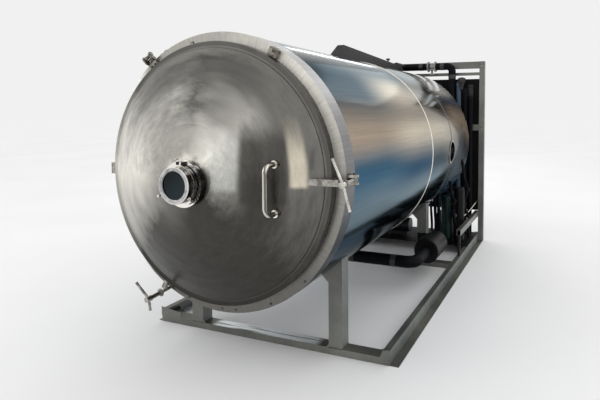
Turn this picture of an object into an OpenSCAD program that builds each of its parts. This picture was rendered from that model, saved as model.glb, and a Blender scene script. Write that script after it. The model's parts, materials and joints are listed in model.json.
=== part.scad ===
// Vacuum freeze dryer: a horizontal steel chamber with a dished swing door,
// an insulated jacket, a folded steel base frame with a rear portal, and the
// vacuum and refrigeration pieces that stand under and behind the chamber.
// Millimetres, +Z up. The origin is the middle of the front beam's underside,
// and the chamber runs back along +Y.

/* [Chamber] */
// Radial width of the front flange, outside the chamber's inner wall
flange_w = 84; // [78:2:100]
// Thickness of the flange plate
flange_t = 40; // [30:2:60]
// Depth of the flange with its skirt
skirt_depth = 108; // [80:2:140]
// Wall of the flange skirt
skirt_t = 2.5; // [2:0.5:3]
// Inner radius of the chamber
shell_r = 716; // [690:2:722]
// Wall of the chamber
shell_t = 6; // [4:0.5:8]
// Length of the jacketed barrel behind the flange face
barrel_len = 3304; // [3240:4:3500]
// Depth of the chamber's dished rear head
head_depth = 150; // [100:5:180]
// Space between the rear head and the end cover
head_space = 46; // [20:2:80]
// Thickness of the jacket sheet
jacket_t = 2; // [1.5:0.5:3]
// Step from the flange rim down to the jacket
jacket_step = 4; // [3:0.5:8]
// Distance from the flange face to the first jacket seam
seam_1_y = 1720; // [1500:10:1900]
// Distance from the flange face to the second jacket seam
seam_2_y = 2440; // [2300:10:2500]
// Height of the flange's lowest point above the floor
under_h = 355; // [300:5:500]

/* [Side port] */
// Radius of the port opening
port_r = 98; // [80:2:110]
// Height of the port centre above the chamber axis
port_z = -45; // [-80:5:0]
// Wall of the port's liner
port_wall = 6; // [4:1:10]
// Width of the port's rim on the jacket
port_rim = 16; // [12:1:24]

/* [Door] */
// How far the door ring reaches over the flange
door_lap = 26; // [22:1:34]
// Thickness of the door ring
door_t = 48; // [36:2:60]
// Radial width of the door ring
door_w = 60; // [50:2:80]
// Width of the flat face round the dome
door_rim = 36; // [30:1:42]
// Height of the dome above the door ring
dome_h = 196; // [150:4:240]
// Radius of the knuckle round the dome
knuckle_r = 12; // [8:1:60]
// Wall of the dome
dome_t = 8; // [6:1:12]
// Gap between the door ring and the flange
door_gap = 4.3; // [3:0.1:6]
// Distance of the hinge pin outside the flange rim
hinge_out = 20; // [19:1:26]
// Distance of the hinge pin behind the flange face
hinge_back = 58; // [50:2:80]
// Radius of the hinge pin
hinge_pin_r = 7; // [6:0.5:8]
// Height of the door's hinge knuckle
knuckle_len = 68; // [50:2:90]

/* [Sight glass] */
// Radius of the glass that shows
sight_r = 73; // [60:1:78]
// Radius of the front ring
sight_ring_r = 97; // [90:1:102]
// Radius of the middle clamp ring
clamp_ring_r = 103; // [100:1:110]
// Radius of the nozzle's flange on the dome
nozzle_flange_r = 123; // [116:1:134]
// Thickness of the glass
sight_glass_t = 14; // [10:1:18]
// Height of the sight glass below the door's centre
sight_drop = 22; // [0:1:30]
// Distance of the sight glass from the door's centre toward the hinge
sight_in = 7; // [0:1:20]

/* [Door handle] */
// Distance of the handle from the door centre
handle_x = 484; // [420:4:520]
// Height of the handle's middle below the chamber axis
handle_drop = 35; // [0:5:60]
// Distance between the centres of the handle's feet
handle_span = 250; // [200:5:300]
// Distance of the handle's bar from the dome
handle_out = 95; // [70:5:120]
// Radius of the handle's bar
handle_bar_r = 14; // [11:0.5:16]
// Radius of the handle's bends
handle_bend = 42; // [30:2:50]

/* [Swing clamps] */
// Distance of the pivot pin outside the flange rim
pivot_out = 18; // [18:1:24]
// Distance of the pivot pin behind the flange face
pivot_back = 64; // [50:2:76]
// Outward lean of the slackened swing bolts
bolt_lean = 7; // [7:0.5:12]
// Radius of the swing bolt
bolt_r = 9; // [7:0.5:10]
// Radius of the pivot pin
pivot_r = 7; // [6:0.5:8]
// Radius of the swing bolt's eye
eye_r = 16; // [14:1:17]
// Width of the swing bolt's eye
eye_w = 24; // [20:1:28]
// Thickness of each lug
lug_t = 14; // [10:1:18]
// Distance of the right-hand clamp land in front of the flange
land_front = 100; // [92:2:106]
// Width of the right-hand clamp land
land_w = 34; // [28:1:40]
// Distance of the lower clamp land in front of the flange
low_land_front = 44; // [40:1:50]
// Distance from the pivot to the nut's bar
tbar_at = 196; // [190:1:210]
// Radius of the nut's washer
washer_r = 24; // [22:1:26]
// Radius of the nut's hub
hub_r = 16; // [14:1:19]
// Radius of the nut's bar
tbar_r = 7; // [5:0.5:8]

/* [Base frame] */
// Distance of the base frame's front from the flange face
frame_front = 404; // [380:4:460]
// Distance from the barrel's end to the base frame's rear
rear_room = 172; // [168:2:300]
// Half of the width between the outer faces of the side rails
rail_x = 882; // [860:2:920]
// Height of the front and rear beams
beam_h = 44; // [30:1:50]
// Depth of the front and rear beams
beam_d = 92; // [80:2:120]
// Wall of the frame's tubes and folded sections
frame_t = 4; // [3:0.5:6]
// Height of the side rails
rail_h = 88; // [70:2:100]
// Width of the rails' inner top flange
rail_top = 38; // [30:2:60]
// Width of the rails' outer bottom lip
rail_lip = 62; // [58:2:70]
// Width of the left rail's outer lip in front of its post
left_lip = 30; // [24:2:58]
// How much nearer the centre line the left rail stands
left_in = 28; // [0:2:40]
// Distance of each leg's middle from the centre line
leg_x = 532; // [500:4:560]
// Width of a leg
leg_w = 92; // [80:4:120]
// Depth of a leg
leg_d = 92; // [50:2:110]
// Distance of the rear legs from the flange face
rear_leg_y = 2296; // [2200:4:2340]
// Leg of the corner gussets
gusset = 42; // [30:2:60]
// Width of the plate on the frame's left front corner
end_plate_w = 176; // [120:4:200]
// Height of the end plates above the floor
end_plate_h = 104; // [96:2:120]

/* [Rear portal] */
// Height of the portal above the floor
portal_h = 2074; // [2050:2:2200]
// Depth of a portal post
post_d = 60; // [56:2:70]
// Depth of the portal's cross bars
bar_d = 44; // [30:2:46]
// Height of the portal's top beam
top_beam_h = 78; // [60:2:90]
// Height of the upper bar
upper_bar_h = 33; // [25:1:45]
// Gap between the top beam and the upper bar
upper_gap = 45; // [30:1:60]
// Height of the middle bar
mid_bar_h = 69; // [50:1:80]
// Height of the middle bar's underside above the floor
mid_bar_z = 1281; // [1200:5:1350]

/* [Heating shelves] */
// Number of heating shelves
shelf_count = 9; // [5:1:9]
// Distance from one shelf to the next
shelf_pitch = 108; // [90:2:110]
// Thickness of a shelf
shelf_t = 16; // [12:1:20]
// Half width of a shelf
shelf_x = 440; // [400:4:450]
// Length of the condenser space behind the shelves
cold_room = 498; // [460:2:600]
// Distance of the shelves' front behind the flange face
shelf_front = 130; // [110:5:160]
// Width of the rack's upright angles
upright_w = 34; // [28:1:40]

/* [Vacuum and refrigeration] */
// Radius of the insulated suction pipe over the barrel
suction_r = 42; // [36:1:46]
// Radius of the insulated pipe under the barrel
drain_r = 50; // [40:1:54]
// Radius of the receiver drum
drum_r = 112; // [100:2:120]
// Height of the drum's axis above the floor
drum_z = 251; // [230:2:290]
// Width of the duct on the barrel
duct_w = 58; // [50:2:80]
// Distance of the duct's right side from the centre line
duct_x = 100; // [80:4:120]
// Height of the duct's nose above the jacket
duct_nose_up = 106; // [84:2:124]
// Height of the duct's tail above the jacket
duct_tail_up = 52; // [40:2:64]
// Thickness of the machine deck
deck_t = 6; // [4:1:10]
// Length of the machine deck
deck_l = 620; // [560:10:640]

/* [Hidden] */
$fn = 64;
fine = 96;
slip = 0.3;
run_fit = 0.05;

// Frames and planes that the pieces share
flange_r = shell_r + flange_w;
axis_h = under_h + flange_r;
door_r = shell_r + door_lap;
dome_r = door_r - door_rim;
frame_rear = barrel_len + rear_room;
face_y = -(frame_front + beam_d / 2);
jacket_r = flange_r - jacket_step;
foam_r = jacket_r - jacket_t;
shell_out = shell_r + shell_t;
shell_end = barrel_len - jacket_t - head_space;
head_y = shell_end - head_depth;
door_back = -door_gap;
door_front = door_back - door_t;
apex_y = door_front - dome_h;
crown_a = dome_r - knuckle_r;
crown_r = (pow(crown_a, 2) + pow(dome_h, 2) - pow(knuckle_r, 2)) / (2 * (dome_h - knuckle_r));
crown_y = apex_y + crown_r;
crown_angle = asin(crown_a / (crown_r - knuckle_r));
gasket_in = shell_r + 5;
gasket_out = gasket_in + 12;
gasket_depth = 6;
coil_r = shell_r - 116;
coil_pipe_r = 14;
shelf_l = head_y - cold_room - shelf_front;
band_w = 9;
band_h = 3;

// Angles of the clamp stations, counter-clockwise from the right-hand side
clamp_angles = [0, 122, 241];
screw_angles = [253, 270.5, 277.5, 295.5, 315];

// Places round the clamps; those along a bolt are measured from its pivot
pivot_x = flange_r + pivot_out;
land_end = pivot_x - 17;
low_land_w = 26;
low_land_t = 16;
lug_gap = eye_w / 2 + slip;
nut_slack = 1.5;
washer_t = 4;
hub_half = 18;
bolt_len = tbar_at + 9;

// Places of the hinge
hinge_x = -(flange_r + hinge_out);
hinge_knuckle_r = hinge_pin_r * 2;
strap_t = 10;

// Places along the sight glass
nozzle_y = apex_y - 2;
nozzle_t = 26;
neck_r = sight_r + 18;
groove_t = 7;
clamp_ring_t = 20;
sight_ring_t = 28;
clamp_ring_back = nozzle_y - nozzle_t - groove_t;
sight_ring_back = clamp_ring_back - clamp_ring_t - groove_t;
sight_front = sight_ring_back - sight_ring_t;
glass_seat = 8;

// Places of the frame, from the flange face
frame_len = frame_rear - frame_front;
post_x = rail_x + rail_lip;
bar_y = frame_rear - bar_d;
upper_bar_z = portal_h - top_beam_h - upper_gap - upper_bar_h;
leg_inner = leg_x - leg_w / 2;
leg_outer = leg_x + leg_w / 2;
post_bottom = frame_t;
side_bar_h = 60;
side_bar_w = 40;
side_bar_z = 285;
side_bar_front = 2440;
deck_y = bar_y - deck_l - 12;
deck_z = rail_h;
machine_z = deck_z + deck_t;

// Places of the pipes, from the flange face and the chamber axis
pipe_bend = 80;
suction_bend = 62;
suction_y = barrel_len + suction_r + 6;
suction_z = jacket_r + 72;
suction_in = [-16, barrel_len - 244];
suction_out_x = 584;
suction_end_z = 330;
valve_x = 345;
valve_l = 96;
valve_flange_r = 60;
valve_flange_t = 14;
wheel_drop = 76;
wheel_r = 34;
stem_r = 7;
drain_y = 1584;
drain_in_x = -40;
drum_x = 678;
drum_front = 1936;
plate_t = 8;
drum_back = rear_leg_y - plate_t;
duct_front = 1311;
duct_nose = 1457;
duct_back = barrel_len - 314;

// Places of the machines on the deck
compressor_x = suction_out_x;
compressor_w = 190;
compressor_l = 300;
compressor_y = suction_y - suction_bend - 20 - compressor_l;
vessel_y = deck_y + 100;
green_vessel_x = 640;
green_vessel_r = 62;
black_vessel_x = 772;
black_vessel_r = 56;
vessel_foot = 26;

// Points on an arc of radius r about a centre, from angle a0 to a1
function arc(c, r, a0, a1, n) =
    [for (i = [0:n]) c + r * [cos(a0 + (a1 - a0) * i / n), sin(a0 + (a1 - a0) * i / n)]];

// Points on an ellipse from its rim (a, 0) to its pole (0, b)
function bowl(a, b, y, n) = [for (i = [0:n]) [a * cos(90 * i / n), y + b * sin(90 * i / n)]];

// Outline of the dome at a depth t inside its outer face, from its pole to its edge
function dome_line(t) = concat(
    [for (i = [0:10]) [
        (crown_r - t) * sin(crown_angle * i / 10),
        crown_y - (crown_r - t) * cos(crown_angle * i / 10)
    ]],
    [for (i = [1:5]) let (f = (90 - crown_angle) * (1 - i / 5)) [
        crown_a + (knuckle_r - t) * cos(f),
        door_front - (knuckle_r - t) * sin(f)
    ]]
);

// Everything on the chamber is drawn about its axis, from the flange face back
module on_axis() translate([0, face_y, axis_h]) children();

// Everything on the floor frame is measured from the flange face too
module on_floor() translate([0, face_y, 0]) children();

// A profile of [radius, y] points turned about the chamber axis
module turned(points) rotate([-90, 0, 0]) rotate_extrude($fn = fine) polygon(points);

// A ring or a disc about the chamber axis
module ring(r_in, r_out, y0, y1)
    turned([[r_in, y0], [r_out, y0], [r_out, y1], [r_in, y1]]);

// A cylinder along +Y
module rod_y(r, y0, y1) translate([0, y0, 0]) rotate([-90, 0, 0]) cylinder(r = r, h = y1 - y0);

// A large cylinder along +Y, with enough sides to cut other pieces by
module barrel(r, y0, y1) translate([0, y0, 0]) rotate([-90, 0, 0])
    cylinder(r = r, h = y1 - y0, $fn = 240);

// A cylinder along +X
module rod_x(r, x0, x1) translate([x0, 0, 0]) rotate([0, 90, 0]) cylinder(r = r, h = x1 - x0);

// A box between two corners
module block(low, high) translate(low) cube(high - low);

// A closed box section between two corners, open at both ends along one axis
module tube(low, high, axis, t = frame_t) {
    clear = [for (i = [0:2]) i == axis ? -1 : t];
    difference() {
        block(low, high);
        block(low + clear, high - clear);
    }
}

// A clamp station: +X points outward from the chamber axis at this angle
module station(angle) rotate([0, -angle, 0]) children();

// A quarter bend of a pipe in the plane of its x and y, from +X on to +Y
module bend(r, bend_r) rotate_extrude(angle = 90, $fn = fine) translate([bend_r, 0]) circle(r = r);

// The space that the closed door fills
module door_space()
    turned(concat([[0, door_back]], dome_line(0), [[door_r, door_front], [door_r, door_back]]));

// ---- Chamber ----

module chamber_shell() color("silver") on_axis() difference() {
    turned(concat([[0, flange_t], [shell_out, flange_t]], bowl(shell_out, head_depth, head_y, 16)));
    turned(concat(
        [[0, flange_t - 1], [shell_r, flange_t - 1]],
        bowl(shell_r, head_depth - shell_t, head_y, 16)
    ));
}

module front_flange() color("gainsboro") on_axis() difference() {
    union() {
        ring(shell_r, flange_r, 0, flange_t);
        ring(flange_r - skirt_t, flange_r, flange_t, skirt_depth);
    }
    ring(gasket_in, gasket_out, -1, gasket_depth);
}

module door_gasket() color("whitesmoke") on_axis() turned([
    [gasket_in, gasket_depth], [gasket_in, 0], [gasket_in + 2, -door_gap + slip],
    [gasket_out - 2, -door_gap + slip], [gasket_out, 0], [gasket_out, gasket_depth]
]);

// Round space through the barrel wall at the port, grown by g all round
module port_space(g, r_in, r_out) intersection() {
    ring(r_in, r_out, seam_2_y - port_r * 2, seam_2_y + port_r * 2);
    translate([0, seam_2_y, port_z]) rotate([0, 90, 0])
        cylinder(r = port_r + g, h = flange_r * 2, $fn = fine);
}

module insulation() color("khaki") on_axis() difference() {
    turned(concat(
        [[shell_out, flange_t], [foam_r, flange_t], [foam_r, barrel_len - jacket_t],
            [0, barrel_len - jacket_t]],
        [for (i = [16:-1:0]) bowl(shell_out, head_depth, head_y, 16)[i]]
    ));
    port_space(port_wall, shell_out - 1, flange_r);
}

module jacket_sheet(y0, y1) difference() {
    ring(foam_r, jacket_r, y0, y1);
    port_space(port_wall, foam_r - 1, jacket_r + 1);
}

module jacket_front() color("lightsteelblue") on_axis() jacket_sheet(flange_t, seam_1_y);

module jacket_middle() color("lightsteelblue") on_axis() jacket_sheet(seam_1_y, seam_2_y);

module jacket_rear() color("lightsteelblue") on_axis()
    jacket_sheet(seam_2_y, barrel_len - jacket_t);

// Raised beads that cover the joints of the jacket
module seam_bands() color("white") on_axis() {
    for (s = [[seam_1_y, band_w], [seam_2_y, band_w * 0.6]]) difference() {
        turned([
            [jacket_r, s[0] - s[1]], [jacket_r + band_h, s[0] - s[1] / 2],
            [jacket_r + band_h, s[0] + s[1] / 2], [jacket_r, s[0] + s[1]]
        ]);
        port_space(port_rim, jacket_r - 1, flange_r + 20);
    }
}

module end_cover() color("gray") on_axis() union() {
    ring(0, jacket_r, barrel_len - jacket_t, barrel_len);
    ring(jacket_r - 30, jacket_r - 22, barrel_len, barrel_len + 3);
}

// Liner of the port's recess, with a rim that follows the jacket
module port_frame() color("antiquewhite") on_axis() difference() {
    union() {
        port_space(port_wall, shell_out, jacket_r + 6);
        port_space(port_rim, jacket_r, jacket_r + 6);
    }
    port_space(0, shell_out - 1, jacket_r + 7);
}

module port_cover() color("dimgray") on_axis() {
    port_space(0, shell_out, shell_out + 10);
    translate([shell_out + 10, seam_2_y, port_z]) rod_x(port_r * 0.6, -6, 16);
    intersection() {
        for (i = [0:5]) translate([shell_out + 10, seam_2_y, port_z]) rotate([i * 60, 0, 0])
            translate([0, port_r * 0.82, 0]) rod_x(7, -26, 8);
        ring(shell_out, flange_r, seam_2_y - port_r * 2, seam_2_y + port_r * 2);
    }
}

// Round-headed screws on the flange face
module flange_screws() color("darkgray") on_axis()
    for (a = screw_angles) station(a) translate([flange_r - 17, 0, 0])
        rotate([-90, 0, 0]) rotate_extrude($fn = 24)
            polygon(concat([[0, 0]], arc([0, 0], 7, 0, -60, 4), [[0, -6]]));

// Lug pairs that carry the swing bolts, one pair at each clamp station
module lug_plate() linear_extrude(lug_t) difference() {
    union() {
        translate([pivot_x, pivot_back]) circle(r = pivot_r + 15);
        polygon([
            [flange_r - 6, 20], [pivot_x + 6, pivot_back - pivot_r - 13],
            [pivot_x + 6, pivot_back + pivot_r + 13], [flange_r - 6, skirt_depth]
        ]);
    }
    translate([pivot_x, pivot_back]) circle(r = pivot_r);
}

module clamp_lugs() color("silver") on_axis() difference() {
    for (a = clamp_angles) station(a) {
        translate([0, 0, lug_gap]) lug_plate();
        translate([0, 0, -lug_gap - lug_t]) lug_plate();
    }
    barrel(flange_r, -1, skirt_depth + 1);
}

module lug_pins() color("dimgray") on_axis() for (a = clamp_angles)
    station(a) translate([pivot_x, pivot_back, 0]) {
        translate([0, 0, -lug_gap - lug_t - 4]) cylinder(r = pivot_r, h = 2 * (lug_gap + lug_t) + 8);
        for (s = [-1, 1]) translate([0, 0, s * (lug_gap + lug_t + 3) - 3])
            cylinder(r = pivot_r + 3, h = 6);
    }

// Fixed half of the hinge: two ears on the flange skirt
module hinge_bracket() color("silver") on_axis() difference() {
    for (s = [-1, 1]) translate([0, 0, s * (knuckle_len / 2 + slip + 12) - 12])
        linear_extrude(24) difference() {
            union() {
                translate([hinge_x, hinge_back]) circle(r = hinge_knuckle_r);
                polygon([
                    [hinge_x, hinge_back - hinge_knuckle_r], [-flange_r * 0.98, hinge_back - 22],
                    [-flange_r * 0.98, skirt_depth], [hinge_x, hinge_back + hinge_knuckle_r]
                ]);
            }
            translate([hinge_x, hinge_back]) circle(r = hinge_pin_r);
        }
    barrel(flange_r, -1, skirt_depth + 1);
}

module hinge_pin() color("dimgray") on_axis() translate([hinge_x, hinge_back, 0]) {
    half = knuckle_len / 2 + slip + 24;
    translate([0, 0, -half]) cylinder(r = hinge_pin_r, h = 2 * half);
    for (s = [-1, 1]) translate([0, 0, s * (half + 3) - 3]) cylinder(r = hinge_pin_r + 3, h = 6);
}

// ---- Inside the chamber ----

module heating_shelves() color("gainsboro") on_axis() for (i = [0 : shelf_count - 1])
    translate([0, 0, (i - (shelf_count - 1) / 2) * shelf_pitch])
        block([-shelf_x, shelf_front, -shelf_t / 2], [shelf_x, shelf_front + shelf_l, shelf_t / 2]);

// Upright angles with a cross bar over and under them, and runners to the shell
module shelf_rack() color("silver") on_axis() {
    stack = (shelf_count - 1) / 2 * shelf_pitch + shelf_t / 2 + 20;
    foot_z = sqrt(pow(shell_r, 2) - pow(shelf_x + 20, 2));
    for (y = [shelf_front + 120, shelf_front + shelf_l - 120]) {
        for (s = [-1, 1]) {
            block(
                [s > 0 ? shelf_x : -shelf_x - 8, y - upright_w, -stack],
                [s > 0 ? shelf_x + 8 : -shelf_x, y + upright_w, stack]
            );
            block(
                [-shelf_x - 8, y - upright_w, s > 0 ? stack : -stack - 8],
                [shelf_x + 8, y + upright_w, s > 0 ? stack + 8 : -stack]
            );
        }
    }
    intersection() {
        for (s = [-1, 1]) block(
            [s * shelf_x - 8, shelf_front + 40, -foot_z - 40],
            [s * shelf_x + 8, shelf_front + shelf_l - 40, -stack - 8]
        );
        barrel(shell_r, shelf_front, shelf_front + shelf_l);
    }
}

// Two header pipes behind the shelves, each with a branch into every shelf
module fluid_manifold() color("silver") on_axis() {
    back = shelf_front + shelf_l;
    half = (shelf_count - 1) / 2 * shelf_pitch;
    for (s = [-1, 1]) {
        translate([s * (shelf_x - 60), back + 60, -half - 30]) cylinder(r = 18, h = 2 * half + 60);
        for (i = [0 : shelf_count - 1])
            translate([s * (shelf_x - 60), 0, i * shelf_pitch - half])
                rod_y(6, back, back + 60);
    }
}

// Cold coil of turned rings with two headers, behind the shelves
module condenser_coil() color("peru") on_axis() {
    coil_y = shelf_front + shelf_l + 130;
    for (i = [0:4]) translate([0, coil_y + i * 60, 0]) rotate([-90, 0, 0])
        rotate_extrude($fn = 72) translate([coil_r, 0]) circle(r = coil_pipe_r, $fn = 24);
    for (s = [-1, 1]) translate([s * coil_r, 0, 0]) rod_y(coil_pipe_r + 4, coil_y - 20, coil_y + 260);
    for (s = [-1, 1]) intersection() {
        block([s > 0 ? coil_r : -shell_r, coil_y + 40, -12], [s > 0 ? shell_r : -coil_r, coil_y + 200, 12]);
        barrel(shell_r, 0, head_y);
    }
}

// ---- Base frame ----

module cross_beam(y) on_floor()
    tube([left_in - rail_x, y, 0], [rail_x, y + beam_d, beam_h], 0);

// Pieces of the right side as they are, and of the left side mirrored and moved in
module on_side(side) on_floor() translate([side < 0 ? left_in : 0, 0, 0])
    mirror([side < 0 ? 1 : 0, 0, 0]) children();

module front_beam() color("gray") cross_beam(frame_front);

module rear_beam() color("gray") cross_beam(frame_rear - beam_d);

// Folded rail: a web, a flange turned in at the top and a lip turned out at the floor
module side_rail(side, lip) on_side(side) {
    translate([0, frame_rear, 0]) rotate([90, 0, 0]) linear_extrude(frame_len - frame_t) polygon([
        [rail_x, 0], [rail_x + lip, 0], [rail_x + lip, frame_t],
        [rail_x + frame_t, frame_t], [rail_x + frame_t, rail_h],
        [rail_x - rail_top, rail_h], [rail_x - rail_top, rail_h - frame_t], [rail_x, rail_h - frame_t]
    ]);
    block([rail_x, frame_rear - post_d - 10, 0], [rail_x + rail_lip, frame_rear, frame_t]);
}

module side_rail_left() color("gray") side_rail(-1, left_lip);

module side_rail_right() color("gray") side_rail(1, rail_lip);

// A box-section leg cut to the barrel, with a gusset at each end of its inner face
module leg(side, y, foot_z) color("gray") difference() {
    mirror([side < 0 ? 1 : 0, 0, 0]) on_floor() {
        tube([leg_inner, y, foot_z], [leg_outer, y + leg_d, axis_h], 2);
        translate([0, y + frame_t, 0]) rotate([90, 0, 0]) linear_extrude(frame_t) {
            under = axis_h - sqrt(pow(jacket_r, 2) - pow(leg_inner - gusset, 2));
            polygon([
                [leg_inner, foot_z], [leg_inner - gusset / 2, foot_z], [leg_inner, foot_z + gusset / 2]
            ]);
            polygon([
                [leg_inner, under - gusset], [leg_inner - gusset, under],
                [leg_inner - gusset, axis_h - jacket_r / 2], [leg_inner, axis_h - jacket_r / 2]
            ]);
        }
    }
    on_axis() barrel(jacket_r, 0, barrel_len);
}

module leg_front_left() leg(-1, frame_front, beam_h);

module leg_front_right() leg(1, frame_front, beam_h);

// The rear legs stand on cross ties between the side rails
module rear_tie(side) color("gray") on_floor() mirror([side < 0 ? 1 : 0, 0, 0])
    tube([0, rear_leg_y, 0], [side < 0 ? rail_x - left_in : rail_x, rear_leg_y + leg_d, beam_h], 0);

module leg_rear_left() {
    leg(-1, rear_leg_y, beam_h);
    rear_tie(-1);
}

module leg_rear_right() {
    leg(1, rear_leg_y, beam_h);
    rear_tie(1);
}

// Flat triangles in the frame's corners, and plates that close the rails' front ends
module corner_gussets() color("gray") {
    for (side = [-1, 1]) on_side(side) {
        for (c = [[frame_front + beam_d, 1], [frame_rear - beam_d, -1]])
            translate([0, 0, beam_h - frame_t]) linear_extrude(frame_t) polygon([
                [rail_x, c[0]], [rail_x - 2 * gusset, c[0]], [rail_x, c[0] + c[1] * 2 * gusset]
            ]);
        translate([0, frame_front + frame_t, 0]) rotate([90, 0, 0]) linear_extrude(frame_t)
            polygon(side < 0 ? [
                [rail_x + frame_t, beam_h], [rail_x + frame_t, end_plate_h],
                [rail_x + frame_t - end_plate_w, rail_h - 6], [rail_x + frame_t - end_plate_w, beam_h]
            ] : [
                [rail_x + frame_t, beam_h], [rail_x + frame_t, rail_h + 8],
                [rail_x - rail_top, rail_h], [rail_x - rail_top - 20, beam_h]
            ]);
    }
}

// ---- Rear portal ----

module portal_post(side) color("gray") on_side(side)
    tube([rail_x + frame_t, frame_rear - post_d, post_bottom], [post_x, frame_rear, portal_h], 2);

module portal_post_left() portal_post(-1);

module portal_post_right() portal_post(1);

// A cross bar between the posts
module portal_bar(z, h) color("gray") on_floor()
    tube([left_in - rail_x - frame_t, bar_y, z], [rail_x + frame_t, frame_rear, z + h], 0, 3);

module portal_top_beam() portal_bar(portal_h - top_beam_h, top_beam_h);

module portal_cross_bars() {
    portal_bar(upper_bar_z, upper_bar_h);
    portal_bar(mid_bar_z, mid_bar_h);
}

// Dark sheet on the back of the portal, fixed to the middle bar
module rear_panel() color("#2b2b2b") on_floor()
    block(
        [left_in - post_x, frame_rear, side_bar_z + side_bar_h],
        [post_x, frame_rear + 3, upper_bar_z - 40]
    );

// Side bars that carry pipework, each on a stub post on its rail
module side_bar(side) color("gray") on_side(side) {
    tube(
        [rail_x - side_bar_w + frame_t, side_bar_front, side_bar_z],
        [rail_x + frame_t, frame_rear - post_d + 40, side_bar_z + side_bar_h], 1, 3
    );
    block([rail_x - 26, side_bar_front, rail_h], [rail_x - 2, side_bar_front + 24, side_bar_z]);
}

module side_bars() {
    side_bar(-1);
    side_bar(1);
}

// ---- Machines and pipes ----

module machine_deck() color("#3a3a3a") on_floor()
    block([left_in - rail_x, deck_y, deck_z], [rail_x, deck_y + deck_l, deck_z + deck_t]);

// Semi-hermetic compressor: crankcase, motor bell, two heads and feet
module compressor() color("#262626") on_floor() {
    top = suction_end_z;
    translate([compressor_x, 0, 0]) {
        half = compressor_w / 2;
        back = compressor_y + compressor_l;
        block([-half, compressor_y, machine_z + 20], [half, back, top - 60]);
        translate([0, 0, top]) rod_y(half - 7, compressor_y, back);
        for (x = [-half, half - 30], y = [compressor_y + 10, back - 50])
            block([x, y, machine_z], [x + 30, y + 40, machine_z + 20]);
    }
}

// Vacuum pump with its finned motor, low under the barrel
module vacuum_pump() color("#30363c") on_floor() {
    translate([-420, deck_y + 90, machine_z]) {
        block([0, 0, 14], [300, 340, 180]);
        block([20, 20, 0], [280, 60, 14]);
        block([20, 280, 0], [280, 320, 14]);
        translate([300, 170, 110]) {
            rod_x(78, 0, 300);
            for (i = [0:7]) translate([40 + i * 30, 0, 0]) rod_x(88, 0, 10);
        }
        block([380, 110, 0], [540, 230, 40]);
        translate([150, 170, 180]) cylinder(r = 30, h = 60);
    }
}

// Height from the machine deck to the barrel at a distance x from the centre line
function under_barrel(x) = axis_h - sqrt(pow(jacket_r, 2) - pow(x, 2)) - machine_z;

// A standing vessel with dished ends on a foot ring
module vessel(x, r, h) on_floor() translate([x, vessel_y, machine_z]) rotate_extrude($fn = fine)
    polygon(concat(
        [[0, 0], [r * 0.7, 0], [r * 0.7, vessel_foot]],
        arc([0, vessel_foot + r * 0.5], r, -45, 0, 5),
        arc([0, h - r * 0.6], r, 0, 36, 4),
        [[r * 0.3, h], [0, h]]
    ));

module separator_vessel() color("#16302c")
    vessel(green_vessel_x, green_vessel_r, under_barrel(green_vessel_x - green_vessel_r) - 14);

module accumulator_vessel() color("#1d1d1d")
    vessel(black_vessel_x, black_vessel_r, under_barrel(black_vessel_x - black_vessel_r) - 112);

// Drum with the plate on its end that is bolted to the rear leg
module receiver_drum() color("#303030") on_floor() {
    translate([drum_x, 0, drum_z]) turned([
        [0, drum_front], [drum_r - 8, drum_front], [drum_r, drum_front + 8],
        [drum_r, drum_back - 8], [drum_r - 8, drum_back], [0, drum_back]
    ]);
    block([leg_inner + 6, drum_back, drum_z - 70], [drum_x + 60, rear_leg_y, drum_z + 70]);
}

// Insulated pipe from the bottom of the barrel to the drum
module drain_pipe() color("#141416") on_floor() difference() {
    union() {
        translate([drain_in_x, drain_y, drum_z + pipe_bend]) cylinder(r = drain_r, h = 60);
        translate([drain_in_x + pipe_bend, drain_y, drum_z + pipe_bend]) rotate([90, 180, 0])
            bend(drain_r, pipe_bend);
        translate([0, drain_y, drum_z]) rod_x(drain_r, drain_in_x + pipe_bend, drum_x - pipe_bend);
        translate([drum_x - pipe_bend, drain_y + pipe_bend, drum_z]) rotate([0, 0, -90])
            bend(drain_r, pipe_bend);
        translate([drum_x, 0, drum_z]) rod_y(drain_r, drain_y + pipe_bend, drum_front);
    }
    translate([0, 0, axis_h]) barrel(jacket_r, 0, barrel_len);
}

// Insulated suction pipe: out of the barrel's top, over its end and down to the compressor
module suction_pipe() color("#141416") on_axis() {
    x0 = suction_in[0];
    y0 = suction_in[1];
    b = suction_bend;
    low = suction_end_z - axis_h;
    difference() {
        translate([x0, y0, jacket_r - 20]) cylinder(r = suction_r, h = suction_z - b - jacket_r + 20);
        barrel(jacket_r, 0, barrel_len);
    }
    translate([x0, y0 + b, suction_z - b]) rotate([90, 0, -90]) bend(suction_r, b);
    translate([x0, 0, suction_z]) rod_y(suction_r, y0 + b, suction_y - b);
    translate([x0 + b, suction_y - b, suction_z]) rotate([0, 0, 90]) bend(suction_r, b);
    translate([0, suction_y, suction_z]) {
        rod_x(suction_r, x0 + b, valve_x - valve_l / 2);
        rod_x(suction_r, valve_x + valve_l / 2, suction_out_x - b);
    }
    translate([suction_out_x - b, suction_y, suction_z - b]) rotate([90, 0, 0]) bend(suction_r, b);
    translate([suction_out_x, suction_y, low + b]) cylinder(r = suction_r, h = suction_z - low - 2 * b);
    translate([suction_out_x, suction_y - b, low + b]) rotate([0, 90, 0]) bend(suction_r, b);
    translate([suction_out_x, 0, low]) rod_y(suction_r, compressor_y + compressor_l, suction_y - b);
}

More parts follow.
